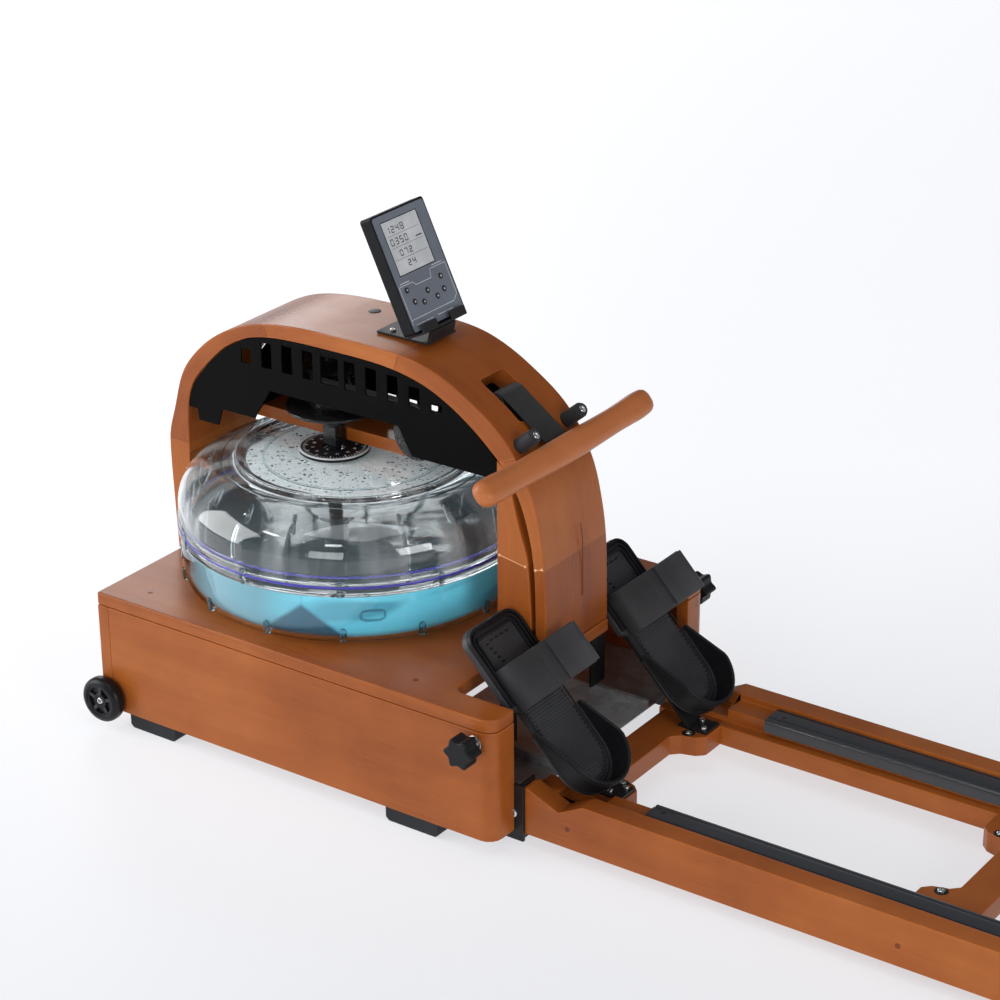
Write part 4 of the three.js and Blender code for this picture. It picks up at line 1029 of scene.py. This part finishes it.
def flat_strip(stations, half, name, material, body, uv0=0.0, **kw):
    """Flat band through stations (centre, width direction, half width), with soft edges and a uv along it."""
    v, uv, f = [], [], []
    ring = [(-1.0, 0.0), (-0.985, -0.8), (-0.95, -1), (0.95, -1), (0.985, -0.8), (1.0, 0.0), (0.985, 0.8), (0.95, 1), (-0.95, 1), (-0.985, 0.8)]
    m, run = len(ring), uv0
    for i, (c, w, hw) in enumerate(stations):
        c, w = Vector(c), Vector(w).normalized()
        a, b = Vector(stations[max(0, i - 1)][0]), Vector(stations[min(len(stations) - 1, i + 1)][0])
        t = (b - a).normalized()
        w = (w - t * w.dot(t)).normalized()
        n = t.cross(w)
        if i:
            run += (c - Vector(stations[i - 1][0])).length * MM
        for p, q in ring:
            v.append(tuple(c + w * p * hw + n * q * half))
            uv.append((run, p * hw * MM))
    for i in range(len(stations) - 1):
        for k in range(m):
            a, b = i * m + k, i * m + (k + 1) % m
            f.append((a, b, b + m, a + m))
    f += [tuple(range(m - 1, -1, -1)), tuple((len(stations) - 1) * m + k for k in range(m))]
    return make(name, (v, f), material, body, uv=uv, smooth=50, weighted=False, **kw), run


key = [((214, -32.4, 459), (0, 0, 1), 21), ((280, -28, 459.3), (0, -0.22, 0.975), 21),((330, -19, 460), (0, -0.5, 0.866), 21.5),
       ((370, -12, 461), (0, -0.77, 0.64), 22), ((405, -5, 461.6), (0, -0.94, 0.34), 22), ((425, 0, 465.6), (0, -1, 0), 22.5),
       ((488.4, 0, 513.3), (0, -1, 0), 22.5), ((496, 0, 515.8), (0, -1, 0), 22.5), ((503.3, 0, 513.5), (0, -1, 0), 22.5)]


def between(keys, n):
    pos = spline([k[0] for k in keys], n, 2)
    cum = [0.0]
    for a, b in zip(keys, keys[1:]):
        cum.append(cum[-1] + (Vector(b[0]) - Vector(a[0])).length)
    out = []
    for i, p in enumerate(pos):
        s = cum[-1] * i / (n - 1)
        j = max(k for k in range(len(cum)) if cum[k] <= s + 1e-6)
        j = min(j, len(keys) - 2)
        t = (s - cum[j]) / max(1e-9, cum[j + 1] - cum[j])
        w = Vector(keys[j][1]).normalized().lerp(Vector(keys[j + 1][1]).normalized(), min(1, t)).normalized()
        out.append((p, tuple(w), keys[j][2] + (keys[j + 1][2] - keys[j][2]) * min(1, t)))
    return out


inner_run, u_end = flat_strip(between(key, 48), 0.8, "strap_inner_run", STRAP, FRAME, slot="webbing")
p0, p1 = Vector((503.3, 0, 513.5)), Vector((569.9, 0, 466.3))
outer = [(tuple(p0.lerp(p1, i / 40)), (0, -1, 0), 22.5) for i in range(41)]
outer_run, _ = flat_strip(outer, 0.8, "strap_outer_run", STRAP, None, u_end, replaces="pull_strap", slot="webbing")
tuple(V(*p0))
tuple(V(*p1))
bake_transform(outer_run)

# ------------------------------------------------------------------ handle and pegs
hp = spline([(17.4, -171), (17.9, -160), (17.2, -138), (16.7, -110), (17.5, -60), (18.2, -28), (18.3, 0), (18.2, 28), (17.5, 60), (16.7, 110),
             (17.2, 138), (17.9, 160), (17.4, 171)], 70, 3)
tip = [(0, 189.4), (4, 189.2), (8.4, 188.0), (12.2, 185.6), (15.2, 181.8), (16.9, 177)]


def shaped_grip(shape):
    """The turned bar planed flat towards the rower, with its ends swept up a little."""
    out = []
    c, d = cos(rad(40)), sin(rad(40))
    for x, y, z in shape[0]:
        q = math.hypot(x, z)
        t = math.atan2(-x * d + z * c, x * c + z * d)
        u = 0.80 * q * math.copysign(abs(cos(t)) ** 0.72, cos(t))
        w = 1.00 * q * math.copysign(abs(sin(t)) ** 0.72, sin(t))
        lift = 4.6 * (abs(y) / 185.0) ** 2.0
        out.append((u * c - w * d + 0.35 * lift, y, u * d + w * c + lift))
    return out, shape[1]


make("handle_finish", moved(shaped_grip(lathe([(r, -h) for r, h in tip] + hp + list(reversed(tip)), 72, "y")), 584, 0, 453), W_HANDLE_PAINTED_LIGHT, "handle",
     replaces="handle_bar", slot="wood_arch", weighted=False, smooth=50)
for side, y in (("left", -52), ("right", 52)):
    prof = [(0, -16), (10, -16), (10, 36.4), (9.6, 37.4), (8.8, 38), (8.0, 38.2), (8.0, 40.2), (7.3, 41), (5.6, 41), (5.2, 39.4), (0, 39.4)]
    make(f"peg_{side}_finish", aimed(lathe(prof, 36), peg_at(0, y), PEG), RUBBER, FRAME, replaces=f"peg_{side}", slot="black_rubber", smooth=40)
    bolt(f"peg_screw_{side}", peg_at(39.3, y), PEG, 5.0, 1.9, FRAME, dome=0.2)

# ------------------------------------------------------------------ console
from_node("console_stand", COAT, 0.5, 1)
from_node("console_body", CASE, 0.9, 2, angle=40)
from_node("lcd_window", LCD, 0.25, 1)


def windowed(outer, hole, h0, h1):
    """A flat sheet with one window, from two outlines of as many points each."""
    n = len(outer)
    v = [(h, a, b) for ring in (outer, hole) for h in (h0, h1) for a, b in ring]
    f = []
    for i in range(n):
        j = (i + 1) % n
        f += [(i, j, n + j, n + i), (2 * n + j, 2 * n + i, 3 * n + i, 3 * n + j), (n + i, n + j, 3 * n + j, 3 * n + i), (j, i, 2 * n + i, 2 * n + j)]
    return v, f


make("console_face", windowed(round_corners([(-53, 2.5), (53, 2.5), (53, 154), (-53, 154)], 4, 5),
                              round_corners([(-41.0, 73.6), (34.0, 73.6), (34.0, 145.4), (-41.0, 145.4)], 1.2, 5), -0.1, 0.05),
     FACE_GREY_AND_SHEEN, FRAME, CONSOLE, weighted=False)


def frame_line(pts, w=0.55):
    """A thin printed line through points of the face."""
    out = []
    for (y0, z0), (y1, z1) in zip(pts, pts[1:]):
        d = Vector((y1 - y0, z1 - z0)).normalized()
        n = Vector((-d.y, d.x)) * w / 2
        e = d * w / 2
        out.append(prism([(y0 - n.x - e.x, z0 - n.y - e.y), (y1 - n.x + e.x, z1 - n.y + e.y), (y1 + n.x + e.x, z1 + n.y + e.y),
                          (y0 + n.x - e.x, z0 + n.y - e.y)], 0.0, 0.1, "x"))
    return together(*out)


make("face_lines", together(
    frame_line([(-50, 12), (-50, 62), (-22, 62), (-18, 57), (14, 57), (18, 68), (50, 68), (50, 25), (40, 18), (-50, 18)]),
    frame_line([(-44, 10.5), (-10, 10.5)], 0.8), frame_line([(2, 10.5), (34, 10.5)], 0.8),
    frame_line([(-46, 65), (-28, 65)], 0.7), frame_line([(24, 71), (44, 71)], 0.7)), WHITE_INK, FRAME, CONSOLE, weighted=False)
make("display_bezel", together(frame_line([(-40.3, 74.2), (33.3, 74.2), (33.3, 144.8), (-40.3, 144.8), (-40.3, 74.2)], 1.0)), GLOSS, FRAME, CONSOLE, weighted=False)
SEG = {0: "abcdef", 1: "bc", 2: "abged", 3: "abgcd", 4: "fgbc", 5: "afgcd", 6: "afgedc", 7: "abc", 8: "abcdefg", 9: "abfgcd"}


def digit(value, y, z, w, h, t):
    """A seven-bar numeral with its lower left corner at (y, z)."""
    bars = {"a": (y + t * 0.6, y + w - t * 0.6, z + h - t, z + h), "g": (y + t * 0.6, y + w - t * 0.6, z + h / 2 - t / 2, z + h / 2 + t / 2),
            "d": (y + t * 0.6, y + w - t * 0.6, z, z + t), "f": (y, y + t, z + h / 2 + t * 0.4, z + h - t * 0.5),
            "b": (y + w - t, y + w, z + h / 2 + t * 0.4, z + h - t * 0.5), "e": (y, y + t, z + t * 0.5, z + h / 2 - t * 0.4),
            "c": (y + w - t, y + w, z + t * 0.5, z + h / 2 - t * 0.4)}
    return [block(-0.16, -0.06, *bars[b]) for b in SEG[value]]


marks = []
for row, (z, text, h) in enumerate([(128, (1, 2, 4, 8), 9), (112.5, (0, 3, 5, 0), 9), (97, (0, 7, 2), 8), (82, (2, 4), 8)]):
    for i, value in enumerate(text):
        marks += digit(value, -34 + i * 9.5 + (10 if len(text) == 3 else 0) + (18 if len(text) == 2 else 0), z, 6.2, h, 1.15)
for z in (109.2, 93.6, 125):
    marks.append(block(-0.16, -0.06, -36, 29, z, z + 0.4))
marks.append(block(-0.16, -0.06, 16, 28, 112.5, 114))
make("display_digits", together(*marks), DARK_INK, FRAME, CONSOLE, weighted=False)
for i, (y, z) in enumerate([(-38.2, 55.2), (-31.5, 38), (-14.5, 33), (-0.8, 44.5), (13.7, 32.5), (30.2, 37.5), (32.7, 54)]):
    k = i + 1
    make(f"key_{k}_cap", moved(lathe([(0, -3.6), (3.1, -3.6), (4.1, -2.6), (4.1, 0.2), (3.7, 0.8), (2.6, 1.0), (0, 1.05)], 28, "x"), 0, y, z), RUBBER, f"key_{k}_button",
         CONSOLE, replaces=f"key_{k}", slot="black_rubber")
    sign = together(moved(prism([(-1.5, -0.9), (1.5, -0.9), (0, 1.6)], 1.07, 1.18, "x"), 0, y, z)) if i % 2 else \
        together(moved(block(1.07, 1.18, -1.6, 1.6, -0.35, 0.35), 0, y, z), moved(block(1.07, 1.18, -0.35, 0.35, -1.6, -0.4), 0, y, z),
                 moved(block(1.07, 1.18, -0.35, 0.35, 0.4, 1.6), 0, y, z))
    make(f"key_{k}_mark", sign, WHITE_INK, f"key_{k}_button", CONSOLE, weighted=False)
for i, y in enumerate((-18, 18)):
    bolt(f"stand_screw_{i + 1}", (330, y, 563.4), (0, 0, 1), 4.5, 2.2, FRAME, material=STEEL)

# ------------------------------------------------------------------ footplates
toe = [(112, 54.5), (22, 54.5), (0, 32.5), (0, -32.5), (22, -54.5), (112, -54.5), (118, -40), (200, -40), (200, 40), (118, 40)]
toe_out = [(112, 54.5)] + [(22 + 22 * cos(rad(a)), 32.5 + 22 * sin(rad(a))) for a in range(90, 181, 10)]
toe_out += [(22 + 22 * cos(rad(a)), -32.5 + 22 * sin(rad(a))) for a in range(180, 271, 10)] + [(112, -54.5), (118, -40), (200, -40), (200, 40), (118, 40)]


def toe_path(off, x_end=110.0, n=12):
    """The plate's edge, moved in by off, from one long side round the toe to the other."""
    r = max(22 - off, 2)
    y = 54.5 - off
    pts = [(x_end, y), (80, y), (50, y)]
    pts += [(22 + r * cos(rad(90 + 90 * k / n)), 32.5 + r * sin(rad(90 + 90 * k / n))) for k in range(n + 1)]
    pts += [(22 + r * cos(rad(180 + 90 * k / n)), -32.5 + r * sin(rad(180 + 90 * k / n))) for k in range(n + 1)]
    return pts + [(50, -y), (80, -y), (x_end, -y)]


def rib(path, half, z0, z1, taper=0.6):
    """A bar with sloping sides along a flat path."""
    pts = [Vector(p) for p in path]
    v, f = [], []
    m = len(pts)
    for i, p in enumerate(pts):
        t = (pts[min(i + 1, m - 1)] - pts[max(i - 1, 0)]).normalized()
        n = Vector((-t.y, t.x))
        for w, z in ((-half, z0), (half, z0), (half * taper, z1 - 0.25), (half * taper * 0.6, z1), (-half * taper * 0.6, z1), (-half * taper, z1 - 0.25)):
            v.append((p.x + n.x * w, p.y + n.y * w, z))
    for i in range(m - 1):
        for k in range(6):
            a, b = i * 6 + k, i * 6 + (k + 1) % 6
            f.append((a, b, b + 6, a + 6))
    f += [tuple(range(5, -1, -1)), tuple((m - 1) * 6 + k for k in range(6))]
    return v, f


def heel_arc(r, a0=-90.0, a1=90.0, n=24, x0=150.0, cx=209.0):
    """The cup's outline at radius r: two straight sides and the round heel."""
    pts = [(x0 + (cx - x0) * k / 8, -r) for k in range(8)]
    pts += [(cx + r * 0.98 * cos(rad(a0 + (a1 - a0) * k / n)), r * sin(rad(a0 + (a1 - a0) * k / n))) for k in range(n + 1)]
    return pts + [(cx - (cx - x0) * (k + 1) / 8, r) for k in range(8)]


def wall(path_out, path_in, top, z0=3.3):
    """A standing wall between two outlines, its top edge rounded and its height given by x."""
    v, f = [], []
    m = len(path_out)
    for (xo, yo), (xi, yi) in zip(path_out, path_in):
        h = top((xo + xi) / 2)
        lerp = lambda t: (xo + (xi - xo) * t, yo + (yi - yo) * t)
        for t, z in ((0, z0), (0, h - 1.2), (0.2, h - 0.3), (0.5, h), (0.8, h - 0.3), (1, h - 1.2), (1, z0)):
            q = lerp(t)
            v.append((q[0], q[1], z))
    k = 7
    for i in range(m - 1):
        for j in range(k):
            a, b = i * k + j, i * k + (j + 1) % k
            f.append((a, b, b + k, a + k))
    f += [tuple(range(k - 1, -1, -1)), tuple((m - 1) * k + j for j in range(k))]
    return v, f


def dashes(path, step, long, wide, z0, z1):
    """Small marks laid end to end along a flat path."""
    out, left = [], step / 2
    for (xa, ya), (xb, yb) in zip(path, path[1:]):
        d = Vector((xb - xa, yb - ya))
        size = d.length
        if size < 1e-6:
            continue
        d /= size
        while left <= size:
            cx, cy = xa + d.x * left, ya + d.y * left
            px, py, qx, qy = d.x * long / 2, d.y * long / 2, -d.y * wide / 2, d.x * wide / 2
            out.append(prism([(cx - px - qx, cy - py - qy), (cx + px - qx, cy + py - qy), (cx + px + qx, cy + py + qy), (cx - px + qx, cy - py + qy)], z0, z1))
            left += step
        left -= size
    return out


for side, s in SIDES:
    M = FOOT[side]
    make(f"toe_plate_{side}_finish", prism(toe_out, -10, 0), TREAD, FRAME, M, bevel=1.6, segs=3, angle=40, replaces=f"toe_plate_{side}", slot="black_plastic")
    make(f"toe_ribs_{side}", together(rib(toe_path(3.0), 2.3, -0.4, 5.4), rib(toe_path(9.4), 2.0, -0.4, 4.6), rib(toe_path(15.6), 1.9, -0.4, 4.0)),
         PLASTIC, FRAME, M, smooth=40)
    # The toe's slots are not cut: thin black patches stand in for them as painted shade.
    shade_patches = [block(26 + 7 * k, 29 + 7 * k, -26 + 9.0 * k * 0.2, -20 + 9.0 * k * 0.2, -0.3, 0.12) for k in range(5)]
    shade_patches += [block(24, 26.4, -16 + 11 * k, -9 + 11 * k, -0.3, 0.12) for k in range(4)]
    make(f"toe_slot_shade_{side}", together(*shade_patches), SLOT_SHADE_BLACK, FRAME, M, weighted=False)
    # Sliding heel cup.
    heel = "heel_" + side
    out53, in49 = heel_arc(53.0), heel_arc(49.0)
    top = lambda x: 38.0 if x > 212 else max(10.0, 10.0 + 28.0 * (x - 150) / 62.0)
    sole_poly = [(96, -36), (102, -40), (150, -40), (155, -44)] + heel_arc(52.6)[1:-1] + [(155, 44), (150, 40), (102, 40), (96, 36)]
    cup = make(f"heel_cup_{side}_finish", prism(sole_poly, 0.3, 4.3), TREAD, heel, M, bevel=0.7, segs=2, angle=40, replaces=f"heel_cup_{side}", slot="black_plastic")
    make(f"heel_wall_{side}", wall(out53, in49, top), PLASTIC, heel, M, smooth=40)
    # Ridge lines round the outside of the wall and inside its foot.
    lines = []
    for off, dz in ((0.35, 3.4), (0.35, 7.0)):
        path = [(x, y, max(5.0, top(x) - dz)) for x, y in heel_arc(53.0 + off - 0.1)]
        lines.append(tube(path, 0.75, 8))
    lines.append(tube([(x, y, 7.4) for x, y in heel_arc(53.1)], 0.8, 8))
    lines.append(tube([(x, y, 4.6) for x, y in heel_arc(44.0, x0=104, cx=207)], 1.1, 8))
    lines.append(tube([(x, y, 4.5) for x, y in heel_arc(40.6, x0=150, cx=206)], 0.9, 8))
    make(f"heel_ridges_{side}", together(*lines), PLASTIC, heel, M, smooth=50, weighted=False)
    # Painted shade: thin black dashes stand in for the cup's slots.
    make(f"heel_slot_shade_{side}", together(*dashes(heel_arc(38.2, n=40, x0=112, cx=205), 6.2, 3.4, 2.2, 4.1, 4.42)), SLOT_SHADE_BLACK, heel, M, weighted=False)
    knurl = [moved(prism([(-0.9, -0.9), (0.9, -0.9), (0.9, 0.9), (-0.9, 0.9)], 4.2, 4.9), 226 + 3.2 * i, 3.2 * j + (1.6 if i % 2 else 0), 0)
             for i in range(5) for j in range(-4 + i // 2, 5 - i // 2)]
    make(f"heel_knurl_{side}", together(*knurl), KNURL, heel, M, weighted=False)

    # Strap: a lower band from the far side and an upper band whose free end stands off.
    def band(name, pts, half, x0, x1, n, material, body, **kw):
        path = spline(pts, n, 3)
        prof_v, uvs, f = [], [], []
        run = 0.0
        ring = [(x0 + 0.8, -half), (x0 + 0.2, -half * 0.6), (x0, 0), (x0 + 0.2, half * 0.6), (x0 + 0.8, half)]
        ring += [(x1 - 0.8, half), (x1 - 0.2, half * 0.6), (x1, 0), (x1 - 0.2, -half * 0.6), (x1 - 0.8, -half)]
        m = len(ring)
        for i, p in enumerate(path):
            a, b = Vector(path[max(0, i - 1)]), Vector(path[min(n - 1, i + 1)])
            t = (b - a).normalized()
            nn = Vector((-t.y, t.x))
            if i:
                run += (Vector(p) - Vector(path[i - 1])).length * MM
            for x, h in ring:
                prof_v.append((x, p[0] + nn.x * h, p[1] + nn.y * h))
                uvs.append((run, x * MM))
        for i in range(n - 1):
            for k in range(m):
                a, b = i * m + k, i * m + (k + 1) % m
                f.append((a, b, b + m, a + m))
        f += [tuple(range(m - 1, -1, -1)), tuple((n - 1) * m + k for k in range(m))]
        return make(name, (prof_v, f), material, body, M, uv=uvs, smooth=50, weighted=False, **kw)

    band(f"foot_strap_{side}_upper", [(-43.0, 0.4), (-42.8, 10), (-39.2, 20.4), (-27.6, 26.4), (-8, 29.6), (10, 31.4), (44, 35.2), (66, 41.0), (77.4, 46.6)],
         1.2, 62, 122, 46, BAND, FRAME, replaces=f"foot_strap_{side}", slot="webbing")
    band(f"foot_strap_{side}_lower", [(44.4, 0.4), (44.6, 10), (40.4, 20.2), (29, 25.8), (10, 28.4), (-2, 28.0)], 1.0, 62.5, 121.5, 34, BAND, FRAME, slot="webbing")
    # The free end lies on the band, stands off past it and is folded back under itself.
    band(f"foot_strap_{side}_end", [(30, 36.2), (44, 37.8), (58, 40.8), (68, 44.6), (76, 48.6), (79.8, 49.4), (81.4, 47.0), (79.4, 44.6), (72, 41.4)],
         1.1, 63.2, 120.8, 40, BAND_END, FRAME, slot="webbing")
    # Two rows of stitches beside the overlap.
    stitch = []
    for x in range(66, 120, 4):
        stitch.append(tube([(x, 12.0, 33.1), (x + 1.3, 12.0, 33.35), (x + 2.6, 12.0, 33.1)], 0.28, 6))
        stitch.append(tube([(x, 15.4, 33.5), (x + 1.3, 15.4, 33.75), (x + 2.6, 15.4, 33.5)], 0.28, 6))
    make(f"strap_stitches_{side}", together(*stitch), THREAD, FRAME, M, weighted=False)
    from_node(f"foot_bracket_{side}", COAT, 0.6, 2)
    for k, (x, y) in enumerate([(715, 94), (741, 94), (728, 111)]):
        bolt(f"bracket_bolt_{side}_{k + 1}", (x, s * y, 60.3), (0, 0, 1), 4.6, 3.4, FRAME)

# ------------------------------------------------------------------ rails
for side, s in SIDES:
    from_node(f"rail_{side}", W_X, 1.6, 2)
    prof = [(166, 74.3), (166, 78.2), (165.5, 79.1), (164.4, 79.6), (163.4, 79.5), (162.9, 78.0), (161.5, 78.0), (161.0, 79.3), (159.6, 79.7), (156, 79.9),
            (150, 80), (144, 79.9), (140.8, 79.7), (139.4, 79.3), (138.9, 78.0), (137.5, 78.0), (137.0, 79.2), (135.6, 79.5), (133.0, 79.2), (130.9, 78.2),
            (129.5, 76.6), (129, 74.6), (129, 62), (135.7, 62), (135.7, 74.3)]
    make(f"track_{side}_finish", prism([(s * y, z) for y, z in prof], 812, 2040, "x"), TRACK, FRAME, bevel=0.0, replaces=f"track_{side}", slot="track_plastic",
         weighted=False, smooth=25)
    from_node(f"joint_plate_{side}", COAT, 0.6, 2)
    for k, (x, z) in enumerate([(617, 24), (617, 70), (645, 47)]):
        bolt(f"plate_bolt_{side}_{k + 1}", (x, s * 203.6, z), (0, s, 0), 6.2, 3.2, FRAME)
    for k, (x, z) in enumerate([(830, 77), (1425, 77), (2025, 77)]):
        bolt(f"track_screw_{side}_{k + 1}", (x, s * 147.5, 79.9), (0, 0, 1), 3.0, 0.7, FRAME, material=COAT, dome=0.5)
    for k, x in enumerate((722, 1180)):
        grain_plug(f"rail_screw_{side}_{k + 1}", (x, s * 198, 45), (0, s, 0), 4.0, FRAME)
from_node("cross_front", W_Y, 1.6, 2)
from_node("cross_mid", W_Y, 1.6, 2)
for side, s in SIDES:
    for k, (x, y) in enumerate([(727, 79.5), (1175, 79.5)]):
        bolt(f"cross_bolt_{side}_{k + 1}", (x, s * y, 56), (0, 0, 1), 5.0, 2.6, FRAME)
        make(f"cross_pocket_{side}_{k + 1}", moved(lathe([(0, 0.35), (8.4, 0.35), (9, 0), (0, 0)], 28), x, s * y, 56), COAT, FRAME)
from_node("rear_stand", RUBBER, 2.0, 3)

# ------------------------------------------------------------------ seat
from_node("seat_carriage", COAT, 1.0, 2)
for name, x in (("front", 1560), ("rear", 1720)):
    half = [(0, -156), (3.4, -156), (4, -155.4), (4, -152.2), (8.6, -151.8), (9.2, -151), (15.4, -150.2), (16.4, -151), (18.6, -151), (20, -149.6), (20, -147.2),
            (19.4, -146.4), (19.4, -137.6), (20, -136.8), (20, -134.4), (18.6, -133), (16.4, -133), (15.4, -133.8), (9.2, -133), (8.6, -132.2), (4, -131.8)]
    prof = half + [(r, -y) for r, y in reversed(half)]
    make(f"seat_wheels_{name}_finish", moved(lathe(prof, 44, "y"), x, 0, 100.3), TYRE, f"{name}_wheelset", replaces=f"seat_wheels_{name}", slot="wheel_tyre")


def cushion():
    """Seat pad: the CAD pad drawn in, remeshed, blown up as cloth and eased."""
    lo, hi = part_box("seat_pad")
    mid = (lo + hi) / 2
    src = NODES["seat_pad"].data
    me = src.copy()
    o = bpy.data.objects.new("seat_cushion", me)
    bpy.context.scene.collection.objects.link(o)
    size = hi - lo
    for v in me.vertices:
        v.co = Vector(((v.co.x - mid.x) * (1 - 0.012 / size.x) + mid.x, (v.co.y - mid.y) * (1 - 0.012 / size.y) + mid.y,
                       (v.co.z - lo.z) * (1 - 0.006 / size.z) + lo.z))
    w = o.modifiers.new("weld", "WELD")
    w.merge_threshold = 3e-5
    rm = o.modifiers.new("remesh", "REMESH")
    rm.mode, rm.voxel_size = "VOXEL", 0.0055
    sm = o.modifiers.new("smooth", "SMOOTH")
    sm.factor, sm.iterations = 0.5, 6
    bpy.context.view_layer.update()
    dg = bpy.context.evaluated_depsgraph_get()
    fine = bpy.data.meshes.new_from_object(o.evaluated_get(dg))
    for m in list(o.modifiers):
        o.modifiers.remove(m)
    o.data = fine
    rest = [v.co.copy() for v in fine.vertices]
    vg = o.vertex_groups.new(name="held")
    for v in fine.vertices:
        if v.co.z < lo.z + 0.006:
            vg.add([v.index], 1.0, "REPLACE")
    cl = o.modifiers.new("cloth", "CLOTH")
    st = cl.settings
    st.quality = 4
    st.mass = 0.3
    st.tension_stiffness = st.compression_stiffness = 18
    st.shear_stiffness = 8
    st.bending_stiffness = 0.6
    st.use_pressure = True
    st.uniform_pressure_force = 4.0
    st.effector_weights.gravity = 0.0
    st.vertex_group_mass = "held"
    cl.point_cache.frame_start, cl.point_cache.frame_end = 1, 20
    sc = bpy.context.scene
    for f in range(1, 21):
        sc.frame_set(f)
    dg = bpy.context.evaluated_depsgraph_get()
    ev = o.evaluated_get(dg)
    got = [v.co.copy() for v in ev.data.vertices]
    o.modifiers.remove(cl)
    sc.frame_set(1)
    cap = 0.007
    for v, a, b in zip(fine.vertices, rest, got):
        d = b - a
        v.co = a + d * (min(1.0, cap / d.length) if d.length > 1e-9 else 0)
    # Sewn channel round the top, and the hollow under the tail bone.
    for v in fine.vertices:
        x, y, z = v.co.x - mid.x, v.co.y, v.co.z
        if z > lo.z + 0.030:
            for cy in (-0.062, 0.062):
                v.co.z -= 0.0045 * math.exp(-(((x + 0.01) / 0.062) ** 2 + ((y - cy) / 0.040) ** 2))
            v.co.z -= 0.0040 * math.exp(-((y / 0.011) ** 2)) * (1 if x > 0.02 else max(0, 1 - (0.02 - x) / 0.06))
        v.co.z = min(v.co.z, 0.2115)
        v.co.z = max(v.co.z, lo.z)
    fine.shade_smooth()
    sb = o.modifiers.new("subdivision", "SUBSURF")
    sb.levels = sb.render_levels = 1
    fine.materials.clear()
    fine.materials.append(LEATHER)
    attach(o, "seat")
    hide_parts("seat_pad")
    return o


pad = cushion()
# Piped seam round the side of the pad and the board under it.
outline = []
for cx, cy, a0 in ((72, -102, -90), (72, 102, 0), (-72, 102, 90), (-72, -102, 180)):
    for k in range(9):
        t = rad(a0 + 90 * k / 8)
        outline.append((1640 + cx + 45.0 * cos(t), cy + 45.0 * sin(t)))


def on_pad(x, y, z):
    """The pad's side, found by a ray from outside, at height z."""
    c = Vector((1640 - 1026, 0)) * MM
    p = Vector(((x - 1026) * MM, y * MM))
    d = (c - p).normalized()
    start = Vector((p.x - d.x * 0.06, p.y - d.y * 0.06, z * MM))
    hit, loc, nrm, _ = pad.ray_cast(start, Vector((d.x, d.y, 0)))
    return (loc, nrm) if hit else (Vector((p.x, p.y, z * MM)), Vector((-d.x, -d.y, 0)))


bpy.context.view_layer.update()
seam = []
for x, y in outline:
    loc, nrm = on_pad(x, y, 172)
    q = loc + nrm * 0.0006
    seam.append((q.x / MM + 1026, q.y / MM, q.z / MM))
make("seat_piping", tube(seam, 1.5, 10, closed=True), LEATHER, "seat", smooth=50, weighted=False)

# ------------------------------------------------------------------ transport wheels and knobs
for side, s in SIDES:
    def ring(r, y):
        return (r, -s * y)
    # The face turned outward has a recess with spokes and the axle's bolt.
    prof = [ring(*p) for p in ((0, -5.2), (5.4, -5.2), (5.6, -8.6), (9.6, -8.8), (10.4, -8.0), (10.8, -4.6), (18.4, -4.6), (18.9, -8.0), (19.6, -9.0), (21.6, -9.2), (22.2, -10.4), (23.4, -11),
                              (26.2, -10.6), (29.2, -9.0), (31.2, -6.4), (32, -3), (32, 3), (31.2, 6.4), (29.2, 9.0), (26.2, 10.6), (23.4, 11), (9, 11), (8.6, 12), (4.6, 12), (4.6, 36.4), (4, 37), (0, 37))]
    make(f"wheel_{side}_finish", moved(lathe(prof, 64, "y"), 13, s * 264, 42), TYRE, f"transport_wheel_{side}", replaces=f"wheel_{side}", slot="wheel_tyre", smooth=36)
    spokes = []
    for i in range(5):
        a = 2 * pi * i / 5 + 0.3
        v, f = block(9.6, 19.4, -2.6, 2.6, 0, 3.8)
        spokes.append(([(13 + x * cos(a) - y * sin(a), s * (264 + 4.2 + z), 42 + x * sin(a) + y * cos(a)) for x, y, z in v], f))
    make(f"wheel_spokes_{side}", together(*spokes), PLASTIC_SMOOTH, f"transport_wheel_{side}", bevel=0.5, segs=2)
    bolt(f"wheel_bolt_{side}", (13, s * (264 + 5.0), 42), (0, s, 0), 5.6, 4.4, f"transport_wheel_{side}", dome=0.45)

    lobes = []
    for i in range(72):
        a = 2 * pi * i / 72
        r = 18.3 + 2.6 * cos(6 * a) + 0.25 * cos(12 * a)
        lobes.append((620 + r * cos(a), 159 + r * sin(a)))
    y0, y1 = (s * 263, s * 288)
    knob = make(f"knob_{side}_finish", prism(lobes, min(y0, y1), max(y0, y1), "y"), PLASTIC, f"clamp_knob_{side}", bevel=2.2, segs=4, angle=50,
                replaces=f"knob_{side}", slot="black_plastic", smooth=40)
    make(f"knob_cap_{side}", aimed(lathe([(0, 0.3), (6.4, 0.25), (7.4, -0.3), (7.8, -1.4), (0, -1.4)], 32), (620, s * 287.4, 159), (0, s, 0)), GLOSS, f"clamp_knob_{side}")
    thread = [(0, 0)]
    k = 0.0
    while k < 25.0:
        thread += [(4.9, k), (4.15, k + 0.62)]
        k += 1.25
    thread += [(4.2, 26.4), (0, 26.4)]
    make(f"knob_thread_{side}", aimed(lathe(thread, 26), (620, s * 237.4, 159), (0, s, 0)), STEEL, f"clamp_knob_{side}", smooth=20, weighted=False)
    make(f"knob_washer_{side}", aimed(lathe([(5.3, 0), (9.6, 0), (10, 0.3), (10, 1.2), (9.6, 1.5), (5.3, 1.5)], 32, "z", True), (620, s * 250, 159), (0, s, 0)), STEEL, FRAME)
